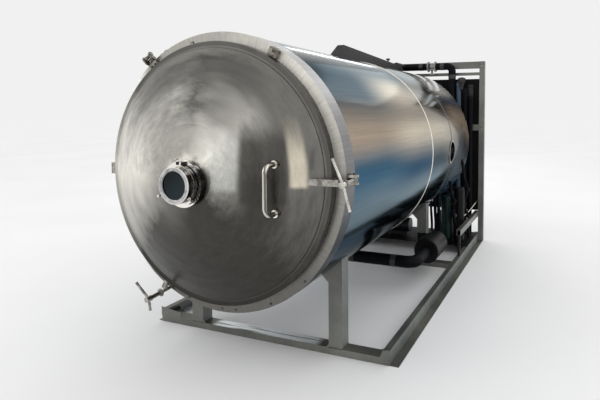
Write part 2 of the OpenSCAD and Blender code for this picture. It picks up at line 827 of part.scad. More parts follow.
// Flanged valve in the suction pipe, with its stem pointing down
module valve_body() color("lightgray") on_axis() translate([valve_x, suction_y, suction_z]) {
    half = valve_l / 2;
    difference() {
        union() {
            rod_x(suction_r - 4, -half, half);
            for (s = [-1, 1]) translate([s * (half - valve_flange_t / 2), 0, 0])
                rod_x(valve_flange_r, -valve_flange_t / 2, valve_flange_t / 2);
            translate([0, 0, -wheel_drop]) cylinder(r = stem_r + 5, h = wheel_drop);
            translate([0, 0, -wheel_drop - 24]) cylinder(r = stem_r, h = 30);
        }
        rod_x(suction_r - 12, -half - 1, half + 1);
    }
}

// Handwheel on the valve's stem: a hub, a rim and spokes
module valve_wheel() color("dimgray") on_axis()
    translate([valve_x, suction_y, suction_z - wheel_drop - 14]) difference() {
        union() {
            translate([0, 0, -6]) cylinder(r = stem_r + 6, h = 14);
            rotate_extrude() translate([wheel_r, 0]) circle(r = 5, $fn = 24);
            for (a = [0, 90, 180, 270]) rotate(a) rod_x(3, stem_r + 3, wheel_r);
        }
        translate([0, 0, -20]) cylinder(r = stem_r + run_fit, h = 40);
    }

// Insulated risers that stand on the deck between the barrel's end and the rear panel
module riser_pipes() color("#1b1d22") on_floor()
    for (p = [[668, 30, 1795], [736, 34, 1715], [800, 26, 1625]])
        translate([p[0], suction_y - 2, machine_z]) {
            cylinder(r = p[1], h = p[2] - machine_z);
            translate([0, 0, p[2] - machine_z]) cylinder(r1 = p[1] + 8, r2 = p[1] - 6, h = 50);
        }

// Tapered duct on the barrel's top with a ramped nose
module top_duct() color("#26282a") on_axis() difference() {
    translate([duct_x - duct_w, 0, 0]) rotate([90, 0, 90]) linear_extrude(duct_w) polygon([
        [duct_front, jacket_r - 20], [duct_front, jacket_r + 6], [duct_nose, jacket_r + duct_nose_up],
        [duct_back, jacket_r + duct_tail_up], [duct_back, jacket_r - 20]
    ]);
    barrel(jacket_r, 0, barrel_len);
    barrel(jacket_r + band_h + slip, seam_1_y - band_w - 1, seam_1_y + band_w + 1);
    barrel(jacket_r + band_h + slip, seam_2_y - band_w - 1, seam_2_y + band_w + 1);
}

// ---- Door ----

module door_head() color("gainsboro") on_axis() difference() {
    turned(concat(
        dome_line(0),
        [for (i = [len(dome_line(0)) - 1 : -1 : 0]) dome_line(dome_t)[i]]
    ));
    translate([-sight_in, 0, -sight_drop]) rod_y(neck_r, apex_y - 10, door_front);
}

module door_ring() color("silver") on_axis() turned([
    [door_r - door_w, door_back], [door_r, door_back], [door_r, door_front + 3],
    [door_r - 3, door_front], [door_r - door_w, door_front]
]);

// Lands that the clamp nuts press on: a long arm from the dome at the right-hand
// clamp and a short block on the door ring at the lower one
module clamp_lands() color("silver") on_axis() difference() {
    union() {
        station(clamp_angles[0]) translate([0, 0, -land_w / 2]) linear_extrude(land_w) polygon([
            [dome_r - 74, -land_front], [land_end, -land_front], [land_end, -land_front + 30],
            [door_r + 10, -40], [door_r + 10, -16], [door_r - 12, -16], [dome_r - 74, -60]
        ]);
        station(clamp_angles[2]) translate([0, 0, -low_land_w / 2]) linear_extrude(low_land_w)
            polygon([
                [door_r - 20, -low_land_front], [land_end, -low_land_front],
                [land_end, -low_land_front + low_land_t], [door_r + 10, -16], [door_r - 20, -16]
            ]);
    }
    door_space();
}

// Moving half of the hinge: a strap from the door ring round the flange rim
module door_hinge_leaf() color("silver") on_axis() difference() {
    translate([0, 0, -knuckle_len / 2]) linear_extrude(knuckle_len) difference() {
        union() {
            translate([hinge_x, hinge_back]) circle(r = hinge_knuckle_r);
            polygon([
                [-flange_r - 3, hinge_back], [-flange_r - 3 - strap_t, hinge_back],
                [-flange_r - 3 - strap_t, door_back - strap_t], [-door_r + 30, door_back - strap_t],
                [-door_r + 30, door_back], [-flange_r - 3, door_back]
            ]);
        }
        translate([hinge_x, hinge_back]) circle(r = hinge_pin_r + run_fit);
    }
    barrel(door_r, door_front - 1, door_back + 1);
}

// D handle: a straight bar with two bends and two legs that end on the dome
module door_handle() color("whitesmoke") on_axis() difference() {
    bar_y0 = crown_y - sqrt(pow(crown_r, 2) - pow(handle_x, 2)) - handle_out;
    half = handle_span / 2;
    translate([handle_x, bar_y0, -handle_drop]) {
        translate([0, 0, handle_bend - half]) cylinder(r = handle_bar_r, h = handle_span - 2 * handle_bend);
        for (s = [0, 1]) mirror([0, 0, s]) {
            translate([0, handle_bend, half - handle_bend]) rotate([90, 0, -90])
                bend(handle_bar_r, handle_bend);
            translate([0, 0, half]) rod_y(handle_bar_r, handle_bend, handle_out + 60);
            translate([0, 0, half]) rod_y(handle_bar_r + 6, handle_out - 14, handle_out + 60);
        }
    }
    translate([0, crown_y, 0]) sphere(r = crown_r, $fn = 200);
}

// Nozzle on the dome: neck, flange, grooves, clamp ring with its ears, and front ring
module sight_nozzle() color("silver") on_axis() translate([-sight_in, 0, -sight_drop]) {
    turned([
        [sight_r + 2, door_front - dome_h / 2], [neck_r, door_front - dome_h / 2],
        [neck_r, nozzle_y], [nozzle_flange_r, nozzle_y],
        [nozzle_flange_r, nozzle_y - nozzle_t], [neck_r, nozzle_y - nozzle_t],
        [neck_r, clamp_ring_back], [clamp_ring_r, clamp_ring_back],
        [clamp_ring_r, clamp_ring_back - clamp_ring_t], [neck_r, clamp_ring_back - clamp_ring_t],
        [neck_r, sight_ring_back], [sight_ring_r - 3, sight_ring_back],
        [sight_ring_r, sight_ring_back - 4], [sight_ring_r, sight_front + 3],
        [sight_ring_r - 3, sight_front], [sight_r + 3, sight_front],
        [sight_r, sight_front + 3], [sight_r, sight_front + glass_seat],
        [sight_r + 8, sight_front + glass_seat],
        [sight_r + 8, sight_front + glass_seat + sight_glass_t],
        [sight_r + 2, sight_front + glass_seat + sight_glass_t]
    ]);
    for (a = [84, 100]) station(a) block([clamp_ring_r - 4, clamp_ring_back - clamp_ring_t + 2, -5],
        [clamp_ring_r + 16, nozzle_y - nozzle_t, 5]);
    station(-52) block([clamp_ring_r - 4, clamp_ring_back - clamp_ring_t, -12],
        [clamp_ring_r + 12, clamp_ring_back + 4, 12]);
}

module sight_glass() color("#16202280") on_axis() translate([-sight_in, 0, -sight_drop])
    ring(0, sight_r + 8, sight_front + glass_seat, sight_front + glass_seat + sight_glass_t);

// ---- Swing clamps ----

// A clamp's own space: from its pivot outward along +X and along the leaning bolt to -Y
module on_bolt(angle) on_axis() station(angle) translate([pivot_x, pivot_back, 0])
    rotate([0, 0, bolt_lean]) children();

// Distance from the pivot to the back of the washer, for a land this far in front
function washer_at(front) = pivot_back + front + nut_slack;

// Eye bolt that swings on its lug pin
module swing_bolt(angle) color("silver") on_bolt(angle) difference() {
    union() {
        translate([0, 0, -eye_w / 2]) cylinder(r = eye_r, h = eye_w);
        rod_y(bolt_r, -bolt_len, -eye_r / 2);
    }
    translate([0, 0, -eye_w]) cylinder(r = pivot_r + run_fit, h = 2 * eye_w);
}

// Washer that travels with the nut
module washer(angle, front) color("silver") on_bolt(angle) difference() {
    rod_y(washer_r, -washer_at(front) - washer_t, -washer_at(front));
    rod_y(bolt_r + run_fit, -washer_at(front) - washer_t - 1, -washer_at(front) + 1);
}

// Cap nut on a sleeve, with two arms; each arm is [angle from outward, length]
module t_nut(angle, front, arms) color("whitesmoke") on_bolt(angle) difference() {
    back = washer_at(front) + washer_t + slip;
    union() {
        rod_y(bolt_r + 9, -back - 5, -back);
        rod_y(bolt_r + 3, -tbar_at, -back);
        rod_y(hub_r, -tbar_at - hub_half, -tbar_at + hub_half - 2);
        for (arm = arms) translate([0, -tbar_at, 0]) station(arm[0]) {
            rod_x(tbar_r, 0, arm[1]);
            rod_x(tbar_r + 1, arm[1] - 10, arm[1]);
        }
    }
    rod_y(bolt_r + run_fit, -bolt_len - 0.5, -back + 1);
}

module swing_bolt_right() swing_bolt(clamp_angles[0]);

module swing_bolt_lower() swing_bolt(clamp_angles[2]);

module washer_right() washer(clamp_angles[0], land_front);

module washer_lower() washer(clamp_angles[2], low_land_front);

module t_nut_right() t_nut(clamp_angles[0], land_front, [[113, 138], [-75, 134]]);

module t_nut_lower() t_nut(clamp_angles[2], low_land_front, [[-105, 124], [29, 71]]);

chamber_shell();
front_flange();
door_gasket();
insulation();
jacket_front();
jacket_middle();
jacket_rear();
seam_bands();
end_cover();
port_frame();
port_cover();
flange_screws();
clamp_lugs();
lug_pins();
hinge_bracket();
hinge_pin();
shelf_rack();
heating_shelves();
fluid_manifold();
condenser_coil();
front_beam();
rear_beam();
side_rail_left();
side_rail_right();
leg_front_left();
leg_front_right();
leg_rear_left();
leg_rear_right();
corner_gussets();
portal_post_left();
portal_post_right();
portal_top_beam();
portal_cross_bars();
rear_panel();
side_bars();
machine_deck();
compressor();
vacuum_pump();
separator_vessel();
accumulator_vessel();
receiver_drum();
drain_pipe();
suction_pipe();
valve_body();
valve_wheel();
riser_pipes();
top_duct();
door_head();
door_ring();
clamp_lands();
door_hinge_leaf();
door_handle();
sight_nozzle();
sight_glass();
swing_bolt_right();
washer_right();
t_nut_right();
swing_bolt_lower();
washer_lower();
t_nut_lower();
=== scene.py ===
# %% [markdown]
# # Freeze dryer
# A production freeze dryer is a steel barrel that dries frozen trays under
# vacuum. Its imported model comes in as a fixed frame, in metres, and this lesson
# gives it a studio, finishes, and the small fittings a maker would see on it.
# The frame could be measured by hand, but asking it for its own boxes keeps
# every added piece in place when a size of the machine is changed.

# %% Load the frame
import json
import math

import bpy
import bmesh
from mathutils import Matrix, Vector


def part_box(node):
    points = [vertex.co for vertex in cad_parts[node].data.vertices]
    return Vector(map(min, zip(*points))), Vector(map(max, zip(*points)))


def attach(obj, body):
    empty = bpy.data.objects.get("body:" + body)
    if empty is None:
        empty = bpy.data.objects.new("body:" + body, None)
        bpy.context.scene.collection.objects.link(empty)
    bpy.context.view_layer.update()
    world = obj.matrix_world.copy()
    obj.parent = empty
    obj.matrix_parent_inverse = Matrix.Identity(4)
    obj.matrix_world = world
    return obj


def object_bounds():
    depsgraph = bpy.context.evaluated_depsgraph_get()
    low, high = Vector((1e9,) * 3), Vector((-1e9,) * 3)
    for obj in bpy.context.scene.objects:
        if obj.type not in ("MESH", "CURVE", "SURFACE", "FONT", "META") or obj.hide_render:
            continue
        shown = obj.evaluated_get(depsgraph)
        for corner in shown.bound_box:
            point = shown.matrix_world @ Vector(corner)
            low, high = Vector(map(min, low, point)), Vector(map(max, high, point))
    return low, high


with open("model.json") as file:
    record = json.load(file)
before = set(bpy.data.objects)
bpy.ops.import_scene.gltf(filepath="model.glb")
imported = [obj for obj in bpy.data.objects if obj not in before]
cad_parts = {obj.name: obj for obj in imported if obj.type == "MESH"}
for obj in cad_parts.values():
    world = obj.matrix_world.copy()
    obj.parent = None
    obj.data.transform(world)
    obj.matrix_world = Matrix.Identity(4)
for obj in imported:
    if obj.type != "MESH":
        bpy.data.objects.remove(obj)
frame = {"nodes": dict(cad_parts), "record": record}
cad_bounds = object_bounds()

# %% [markdown]
# The barrel's axis and the face of its front flange are the two places that
# almost every piece is measured from. The flange is a round plate, so the
# middle of its box is the axis, and the lowest y of its box is its face.

# %% Measure the main places
flange_low, flange_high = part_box("front_flange")
AXIS_Z = (flange_low[2] + flange_high[2]) / 2
FACE_Y = flange_low[1]
FLANGE_R = (flange_high[0] - flange_low[0]) / 2
jacket_low, jacket_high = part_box("jacket_front")
JACKET_R = (jacket_high[0] - jacket_low[0]) / 2
BARREL_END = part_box("end_cover")[1][1]
print("axis height", round(AXIS_Z, 3), "face", round(FACE_Y, 3), "barrel end", round(BARREL_END, 3))

# %% [markdown]
# ## Studio
# A product picture of a machine this size is taken from about the height of a
# standing person, close by and with a rather wide lens, so the door looks big
# and the rear falls away. The camera could be aimed with a constraint, but
# plain numbers are easier to check.

# %% Camera
scene = bpy.context.scene
camera_data = bpy.data.cameras.new("studio_camera")
camera_data.sensor_width = 36.0
camera_data.lens = 29.347
camera_data.shift_x = -0.1311
camera_data.shift_y = -0.1075
camera_data.clip_end = 200.0
camera = bpy.data.objects.new("studio_camera", camera_data)
camera.location = (1.8507, FACE_Y - 2.2502, AXIS_Z + 0.3605)
camera.rotation_euler = (math.radians(87.037), 0.0, math.radians(21.243))
scene.collection.objects.link(camera)
scene.camera = camera
scene.view_settings.view_transform = "Standard"
scene.view_settings.look = "None"
print("camera", tuple(round(v, 3) for v in camera.location))

# %% [markdown]
# The floor is one wide pale disc. A small plane would do for the first view,
# but its edge would cross the picture from other sides, so the disc reaches
# far out and takes nearly the tone of the sky.

# %% Floor
FLOOR_R = 90.0
floor_mesh = bpy.data.meshes.new("studio_floor")
floor_build = bmesh.new()
bmesh.ops.create_circle(floor_build, cap_ends=True, segments=96, radius=FLOOR_R)
floor_build.to_mesh(floor_mesh)
floor_build.free()
floor = bpy.data.objects.new("studio_floor", floor_mesh)
floor.location = (0.0, 1.0, cad_bounds[0][2] - 0.0005)
scene.collection.objects.link(floor)

# %% [markdown]
# Steel shows its surroundings more than its own colour. An even white sky
# gives it something pale to show from everywhere, and three large soft lamps
# add direction: one from high on the left, one from the right and one behind.
# Far behind, a long strip under the roof draws the thin bright line that runs
# along the top of the barrel.

# %% Sky and lamps
sky = bpy.data.worlds.new("studio_sky")
sky.use_nodes = True
sky_shader = sky.node_tree.nodes["Background"]
sky_shader.inputs["Strength"].default_value = 1.0
FLOOR_TONE = 0.88
seen = sky.node_tree.nodes.new("ShaderNodeLightPath")
blend = sky.node_tree.nodes.new("ShaderNodeMix")
blend.data_type = "RGBA"
blend.inputs[6].default_value = (1.0, 1.0, 1.0, 1.0)
blend.inputs[7].default_value = (FLOOR_TONE, FLOOR_TONE, FLOOR_TONE, 1.0)
sky.node_tree.links.new(seen.outputs["Is Camera Ray"], blend.inputs["Factor"])
sky.node_tree.links.new(blend.outputs[2], sky_shader.inputs["Color"])
scene.world = sky


def soft_lamp(name, place, target, size, power):
    data = bpy.data.lights.new(name, "AREA")
    data.shape = "RECTANGLE"
    data.size, data.size_y = size
    data.energy = power
    lamp = bpy.data.objects.new(name, data)
    lamp.location = place
    aim = Vector(target) - Vector(place)
    lamp.rotation_euler = aim.to_track_quat("-Z", "Y").to_euler()
    scene.collection.objects.link(lamp)
    return lamp


soft_lamp("lamp_left", (-3.6, -3.4, 4.2), (0, 0, 1.0), (2.4, 2.4), 30)
soft_lamp("lamp_right", (4.6, 0.2, 3.6), (0.4, 1.2, 0.9), (2.0, 3.0), 14)
soft_lamp("lamp_rear", (0.5, 6.5, 4.4), (0, 2.6, 1.0), (3.0, 1.6), 16)
roof_strip = soft_lamp("lamp_roof_strip", (-3.0, FACE_Y + 9.4, AXIS_Z + 3.4),
                       (-3.0, FACE_Y + 9.4, 0.0), (0.4, 5.0), 44)
roof_strip.visible_camera = False

# %% [markdown]
# ## A small kit for finishes
# Each finish is a tree of nodes. Written out one by one the trees would fill
# pages, so a short helper adds a node, feeds its sockets and hands back its
# output. Sums and products of several values are chains of nodes, and noise
# sways a value about its middle. Colours are given as a painter reads them,
# from 0 to 255.

# %% Finish helper
def tint(red, green, blue):
    values = []
    for part in (red, green, blue):
        part = part / 255.0
        values.append(part / 12.92 if part <= 0.04045 else ((part + 0.055) / 1.055) ** 2.4)
    return (*values, 1.0)


def grey(value):
    return tint(value, value, value)


class Finish:
    def __init__(self, name):
        self.material = bpy.data.materials.new(name)
        self.material.use_nodes = True
        self.tree = self.material.node_tree
        self.tree.nodes.clear()
        self.out = self.node("ShaderNodeOutputMaterial")
        surface = self.node("ShaderNodeTexCoord")
        self.place = surface.outputs["Object"]
        self.facing = surface.outputs["Normal"]

    def node(self, kind, **settings):
        made = self.tree.nodes.new(kind)
        for key, value in settings.items():
            setattr(made, key, value)
        return made

    def feed(self, socket, value):
        if isinstance(value, bpy.types.NodeSocket):
            self.tree.links.new(value, socket)
        elif value is not None:
            socket.default_value = value

    def math(self, operation, *values):
        made = self.node("ShaderNodeMath", operation=operation)
        for socket, value in zip(made.inputs, values):
            self.feed(socket, value)
        return made.outputs[0]

    def chain(self, operation, values):
        total = values[0]
        for value in values[1:]:
            total = self.math(operation, total, value)
        return total

    def times(self, *values):
        return self.chain("MULTIPLY", values)

    def plus(self, *values):
        return self.chain("ADD", values)

    def length(self, first, second):
        return self.math("SQRT", self.plus(self.times(first, first), self.times(second, second)))

    def sway(self, noise, amount):
        return self.times(self.math("SUBTRACT", noise, 0.5), amount)

    def split(self, vector):
        made = self.node("ShaderNodeSeparateXYZ")
        self.feed(made.inputs[0], vector)
        return made.outputs[0], made.outputs[1], made.outputs[2]

    def vector(self, x, y, z):
        made = self.node("ShaderNodeCombineXYZ")
        for socket, value in zip(made.inputs, (x, y, z)):
            self.feed(socket, value)
        return made.outputs[0]

    def stretch(self, vector, scale):
        made = self.node("ShaderNodeMapping")
        self.feed(made.inputs["Vector"], vector)
        made.inputs["Scale"].default_value = scale
        return made.outputs[0]

    def noise(self, vector, scale, detail=3.0, roughness=0.5):
        made = self.node("ShaderNodeTexNoise")
        self.feed(made.inputs["Vector"], vector)
        made.inputs["Scale"].default_value = scale
        made.inputs["Detail"].default_value = detail
        made.inputs["Roughness"].default_value = roughness
        return made.outputs[0]

    def span(self, value, low, high, to_low=0.0, to_high=1.0, smooth=False):
        made = self.node("ShaderNodeMapRange")
        if smooth:
            made.interpolation_type = "SMOOTHSTEP"
        for socket, number in zip(made.inputs, (value, low, high, to_low, to_high)):
            self.feed(socket, number)
        return made.outputs[0]

    def ramp(self, factor, stops, kind="EASE"):
        made = self.node("ShaderNodeValToRGB")
        made.color_ramp.interpolation = kind
        elements = made.color_ramp.elements
        while len(elements) < len(stops):
            elements.new(0.5)
        for element, (position, color) in zip(elements, stops):
            element.position = position
            element.color = color
        self.feed(made.inputs[0], factor)
        return made.outputs[0]

    def mix(self, factor, first, second, kind="MIX"):
        made = self.node("ShaderNodeMix", data_type="RGBA", blend_type=kind)
        self.feed(made.inputs["Factor"], factor)
        self.feed(made.inputs[6], first)
        self.feed(made.inputs[7], second)
        return made.outputs[2]

    def gain(self, color, amount):
        return self.mix(1.0, color, (amount, amount, amount, 1.0), "MULTIPLY")

    def shade(self, color, amount, marks, low, high, dark):
        worn = self.ramp(marks, [(low, grey(dark)), (high, grey(255))], "LINEAR")
        return self.mix(amount, color, worn, "MULTIPLY")

    def pass_into(self, place, tone, *steps):
        for start, end, next_tone in steps:
            tone = self.mix(self.span(place, start, end, smooth=True), tone, next_tone)
        return tone

    def bump(self, height, strength, distance):
        made = self.node("ShaderNodeBump")
        made.inputs["Strength"].default_value = strength
        made.inputs["Distance"].default_value = distance
        self.feed(made.inputs["Height"], height)
        return made.outputs[0]

    def shader(self, color, roughness, metallic=0.0, normal=None, **sockets):
        made = self.node("ShaderNodeBsdfPrincipled")
        self.feed(made.inputs["Base Color"], color)
        self.feed(made.inputs["Roughness"], roughness)
        self.feed(made.inputs["Metallic"], metallic)
        self.feed(made.inputs["Normal"], normal)
        for key, value in sockets.items():
            self.feed(made.inputs[key.replace("_", " ")], value)
        self.tree.links.new(made.outputs[0], self.out.inputs[0])
        return self.material


def dress(material, *names):
    for name in names:
        for holder in frame["nodes"][name].material_slots:
            holder.material = material


# %% [markdown]
# The floor itself is a pale painted slab. A pure white one would hide the
# machine's shadow, so a very light grey with faint cloudy wear is used.

# %% Floor finish
pale = Finish("studio_floor")
cloud = pale.noise(pale.place, 0.6, 4.0)
floor.data.materials.append(pale.shader(
    pale.ramp(cloud, [(0.3, grey(240)), (0.7, grey(243))]), 0.9, Specular_IOR_Level=0.0))

# %% [markdown]
# ## Polished jacket
# The jacket is thin stainless sheet rolled round the foam, polished like a
# dull mirror. In a workshop it shows blue dusk low down, warm lamps at
# shoulder height and a pale roof along the top, in long bands that run with
# the barrel. A real mirror would need the whole workshop built round it. The
# bands are painted by the angle round the barrel instead, so they stay on the
# sheet from every side, and a slow noise makes them wander as rolled sheet
# does. Four sets of bands follow the barrel from its front to its rear, where
# the dents of the thin sheet bend them most.

# %% Angle round the barrel
def round_the_axis(finish):
    x, y, z = finish.split(finish.place)
    up = finish.math("SUBTRACT", z, AXIS_Z)
    side = finish.math("ABSOLUTE", x)
    return finish.math("ARCTAN2", up, side), finish.math("SUBTRACT", y, FACE_Y)


def bands(*stops):
    """Stops by degrees above the horizon, as places on a ramp from -90 to 90."""
    return [((degrees + 90.0) / 180.0, color) for degrees, color in stops]


# %% [markdown]
# The whole room is painted with nine tones. More would only draw a picture of
# one workshop, and the sheet should look at home in any.

# %% Bands of the room
FLOOR_DARK = tint(15, 20, 30)
DUSK_BLUE = tint(25, 70, 105)
STEEL_BLUE = tint(70, 105, 130)
PALE_BLUE = tint(145, 160, 170)
WALL_GREY = tint(85, 88, 92)
WARM_GREY = tint(180, 160, 140)
LAMP_WARM = tint(240, 220, 195)
ROOF_DARK = tint(35, 35, 45)
ROOF_PALE = tint(235, 230, 225)

FRONT_BANDS = bands(
    (-50, FLOOR_DARK), (-30, DUSK_BLUE), (-20, PALE_BLUE), (0, STEEL_BLUE), (15, WARM_GREY),
    (35, WALL_GREY), (50, ROOF_DARK), (62, WARM_GREY), (75, ROOF_DARK))
MIDDLE_BANDS = bands(
    (-50, STEEL_BLUE), (-35, DUSK_BLUE), (-20, PALE_BLUE), (-5, DUSK_BLUE), (15, LAMP_WARM),
    (25, WARM_GREY), (38, LAMP_WARM), (55, ROOF_DARK), (75, WARM_GREY))
SEAM_BANDS = bands(
    (-50, FLOOR_DARK), (-35, DUSK_BLUE), (-20, PALE_BLUE), (-5, FLOOR_DARK), (15, LAMP_WARM),
    (25, WARM_GREY), (35, ROOF_PALE), (45, WARM_GREY), (57, ROOF_PALE), (68, ROOF_DARK))
REAR_BANDS = bands(
    (-50, DUSK_BLUE), (-35, STEEL_BLUE), (-20, PALE_BLUE), (-5, WALL_GREY), (15, WARM_GREY),
    (32, WALL_GREY), (50, ROOF_PALE), (62, ROOF_PALE), (75, ROOF_DARK))

# %% Jacket finish
jacket = Finish("jacket_steel")
angle, behind = round_the_axis(jacket)
slow = jacket.noise(jacket.vector(jacket.times(angle, 0.9), behind, 0.0), 0.75, 2.0)
streaks = jacket.noise(jacket.vector(jacket.times(angle, 9.0), jacket.times(behind, 0.55), 3.0), 1.6, 3.0)
dents = jacket.noise(jacket.vector(jacket.times(angle, 1.3), behind, 5.0), 1.7, 0.5)
dent_depth = jacket.span(behind, 2.0, 2.7, 0.0, 0.38)
wandering = jacket.plus(angle, jacket.sway(slow, 0.07), jacket.sway(streaks, 0.035),
                        jacket.sway(dents, dent_depth))
band_at = jacket.span(wandering, -math.pi / 2, math.pi / 2)
front_tone, middle_tone, seam_tone, rear_tone = (
    jacket.ramp(band_at, stops) for stops in (FRONT_BANDS, MIDDLE_BANDS, SEAM_BANDS, REAR_BANDS))
tone = jacket.pass_into(behind, front_tone, (0.55, 1.35, middle_tone), (1.55, 2.05, seam_tone),
                        (2.15, 2.65, rear_tone))
lines_along = jacket.noise(jacket.vector(jacket.times(angle, 34.0), jacket.times(behind, 0.9), 8.0),
                           1.8, 4.0, 0.7)
tone = jacket.shade(tone, 1.0, lines_along, 0.28, 0.62, 234)
gloss = jacket.span(streaks, 0.2, 0.8, 0.08, 0.15)
duller = jacket.span(behind, 2.25, 2.75, 1.0, 0.45)
grain = jacket.noise(jacket.stretch(jacket.place, (90.0, 1.5, 90.0)), 3.0, 2.0)
jacket_steel = jacket.shader(tone, gloss, duller, jacket.bump(grain, 0.03, 0.0005),
                             Specular_Tint=(0.50, 0.56, 0.59, 1.0))
dress(jacket_steel, "jacket_front", "jacket_middle", "jacket_rear")
print("bands", len(FRONT_BANDS), len(MIDDLE_BANDS), len(SEAM_BANDS), len(REAR_BANDS))

# %% [markdown]
# ## Door
# The dished head and its flat ring were turned while a brush was held on them,
# so the grain runs in circles, and soft reflections smear round the middle into
# a swirl. The grain could be an anisotropic shader alone, but that needs a
# tangent that other programs drop. Here the circles are real: noise that is
# drawn out along the angle and squeezed across the radius.

# %% Circles on turned metal
def from_axis(finish):
    """Sideways place, height, radius and angle, all measured from the barrel's axis."""
    x, _, z = finish.split(finish.place)
    up = finish.math("SUBTRACT", z, AXIS_Z)
    return x, up, finish.length(x, up), finish.math("ARCTAN2", up, x)


def circles(finish, radius, along, around, across):
    return finish.vector(finish.times(finish.math("COSINE", along), around),
                         finish.times(finish.math("SINE", along), around),
                         finish.times(radius, across))


def part_of_turn(finish, along, wander):
    """The angle as a part of one turn, from 0 to 1, swayed by a noise."""
    turns = finish.math("DIVIDE", along, 2 * math.pi)
    return finish.math("FRACT", finish.plus(turns, finish.plus(wander, 2.0)))


# %% [markdown]
# Turned metal is lit in broad lobes that spread from its middle. Eight evenly
# spaced tones round the circle draw them, in four rings that blend outward:
# a bright inner disc, a strong lobe on the left, and a darker rim.

# %% Tones round the door
def round_turn(*tones):
    """Evenly spaced tones round the circle, back to the first one."""
    count = len(tones)
    return [(k / count, tones[k % count]) for k in range(count + 1)]


def warm(value):
    return tint(value, value * 0.985, value * 0.945)


DIM, HALF, LIT, LAMP = warm(70), warm(115), warm(170), warm(240)
INNER_TURN = round_turn(LIT, LAMP, LIT, LIT, LIT, HALF, DIM, DIM)
MIDDLE_TURN = round_turn(DIM, LIT, DIM, LIT, LAMP, DIM, DIM, DIM)
OUTER_TURN = round_turn(HALF, HALF, DIM, HALF, LAMP, DIM, DIM, DIM)
RIM_TURN = round_turn(HALF, HALF, HALF, HALF, LAMP, DIM, DIM, DIM)

# %% [markdown]
# Near the handle the door carries a painted reflection: the dim shape of a doorway with a pale pillar on one
# side and a bright jamb on the other. They could come from boxes in the room, but those would stand in other
# views, so they are painted as soft patches here.

# %% Soft patches of painted reflection
def painted_reflection_patch(finish, x, up, left, right, low, high, soft, fade):
    """A soft upright field of painted reflection that fades out at its top."""
    sides = finish.times(finish.span(x, left - soft, left + soft, smooth=True),
                         finish.span(x, right + soft, right - soft, smooth=True))
    ends = finish.times(finish.span(up, low - soft, low + soft, smooth=True),
                        finish.span(up, high + fade, high - fade, smooth=True))
    return finish.times(sides, ends)


# %% Middle of the sight glass
SIGHT_LOW, SIGHT_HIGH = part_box("sight_nozzle")
SIGHT_X = (SIGHT_LOW[0] + SIGHT_HIGH[0]) / 2
SIGHT_Z = (SIGHT_LOW[2] + SIGHT_HIGH[2]) / 2


def from_glass(finish, x, z):
    return finish.length(finish.math("SUBTRACT", x, SIGHT_X), finish.math("SUBTRACT", z, SIGHT_Z))


print("sight glass at", round(SIGHT_X, 3), round(SIGHT_Z, 3), "rings to", round(SIGHT_HIGH[0] - SIGHT_X, 3))

# %% Lobes of the door
door = Finish("door_steel")
x, up, radius, along = from_axis(door)
rings = circles(door, radius, along, 1.0, 6.0)
smear = door.sway(door.noise(rings, 3.0, 4.0, 0.6), 0.10)
turn = part_of_turn(door, along, smear)
inner, middle, outer, rim = (door.ramp(turn, tones, "LINEAR")
                             for tones in (INNER_TURN, MIDDLE_TURN, OUTER_TURN, RIM_TURN))
wavy = door.plus(radius, door.times(smear, 0.8))
tone = door.pass_into(wavy, inner, (0.20, 0.40, middle), (0.46, 0.58, outer), (0.64, 0.69, rim))

# %% Painted reflection of a doorway in the door
bowed = door.plus(x, door.times(up, up, 0.6))
# Painted reflection: a pale pillar, a dim doorway, a bright jamb and a thin dark strip, each a soft patch
# mixed into the door's tone.
for across, *field, strength, color in (
        (x, 0.15, 0.285, -0.05, 0.22, 0.022, 0.08, 0.55, tint(206, 208, 202)),
        (x, 0.30, 0.535, -0.12, 0.25, 0.02, 0.07, 0.78, tint(66, 64, 60)),
        (bowed, 0.552, 0.63, -0.03, 0.20, 0.014, 0.16, 0.85, tint(226, 216, 196)),
        (x, 0.64, 0.66, 0.06, 0.17, 0.010, 0.03, 0.5, grey(70))):
    tone = door.mix(door.times(painted_reflection_patch(door, across, up, *field), strength), tone, color)

# %% [markdown]
# The flat ring outside the dished head is painted a good third darker, as painted shade. Above and left of
# the sight glass a few painted glints sit on the dome, as if thrown back by its neck.

# %% Door finish
# Painted shade: the flat ring outside the dome is mixed a third of the way to near black.
tone = door.mix(door.times(door.span(radius, 0.714, 0.720), 0.35), tone, grey(24))
# Painted glints: pale flecks on the dome above and left of the sight glass neck.
glints = door.noise(door.stretch(door.place, (9.0, 1.0, 9.0)), 1.6, 3.0)
near_neck = door.span(from_glass(door, x, door.plus(up, AXIS_Z)), 0.19, 0.12, smooth=True)
above_left = door.span(door.math("SUBTRACT", up, x), -0.06, 0.06, smooth=True)
painted_glints = door.times(near_neck, above_left, door.span(glints, 0.42, 0.62, 0.0, 0.85))
tone = door.mix(painted_glints, tone, tint(246, 242, 232))
tone = door.shade(tone, 1.0, door.noise(rings, 6.0, 5.0, 0.65), 0.25, 0.75, 222)
grain = door.noise(circles(door, radius, along, 6.0, 900.0), 1.0, 3.0, 0.7)
tone = door.shade(tone, 0.5, grain, 0.3, 0.7, 200)
door_steel = door.shader(door.gain(tone, 1.26), door.span(grain, 0.2, 0.8, 0.22, 0.36), 1.0,
                         door.bump(grain, 0.10, 0.0004))
dress(door_steel, "door_head", "door_ring")
door_low, door_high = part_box("door_head")
DOOR_R = (door_high[0] - door_low[0]) / 2
print("door radius", round(DOOR_R, 3))
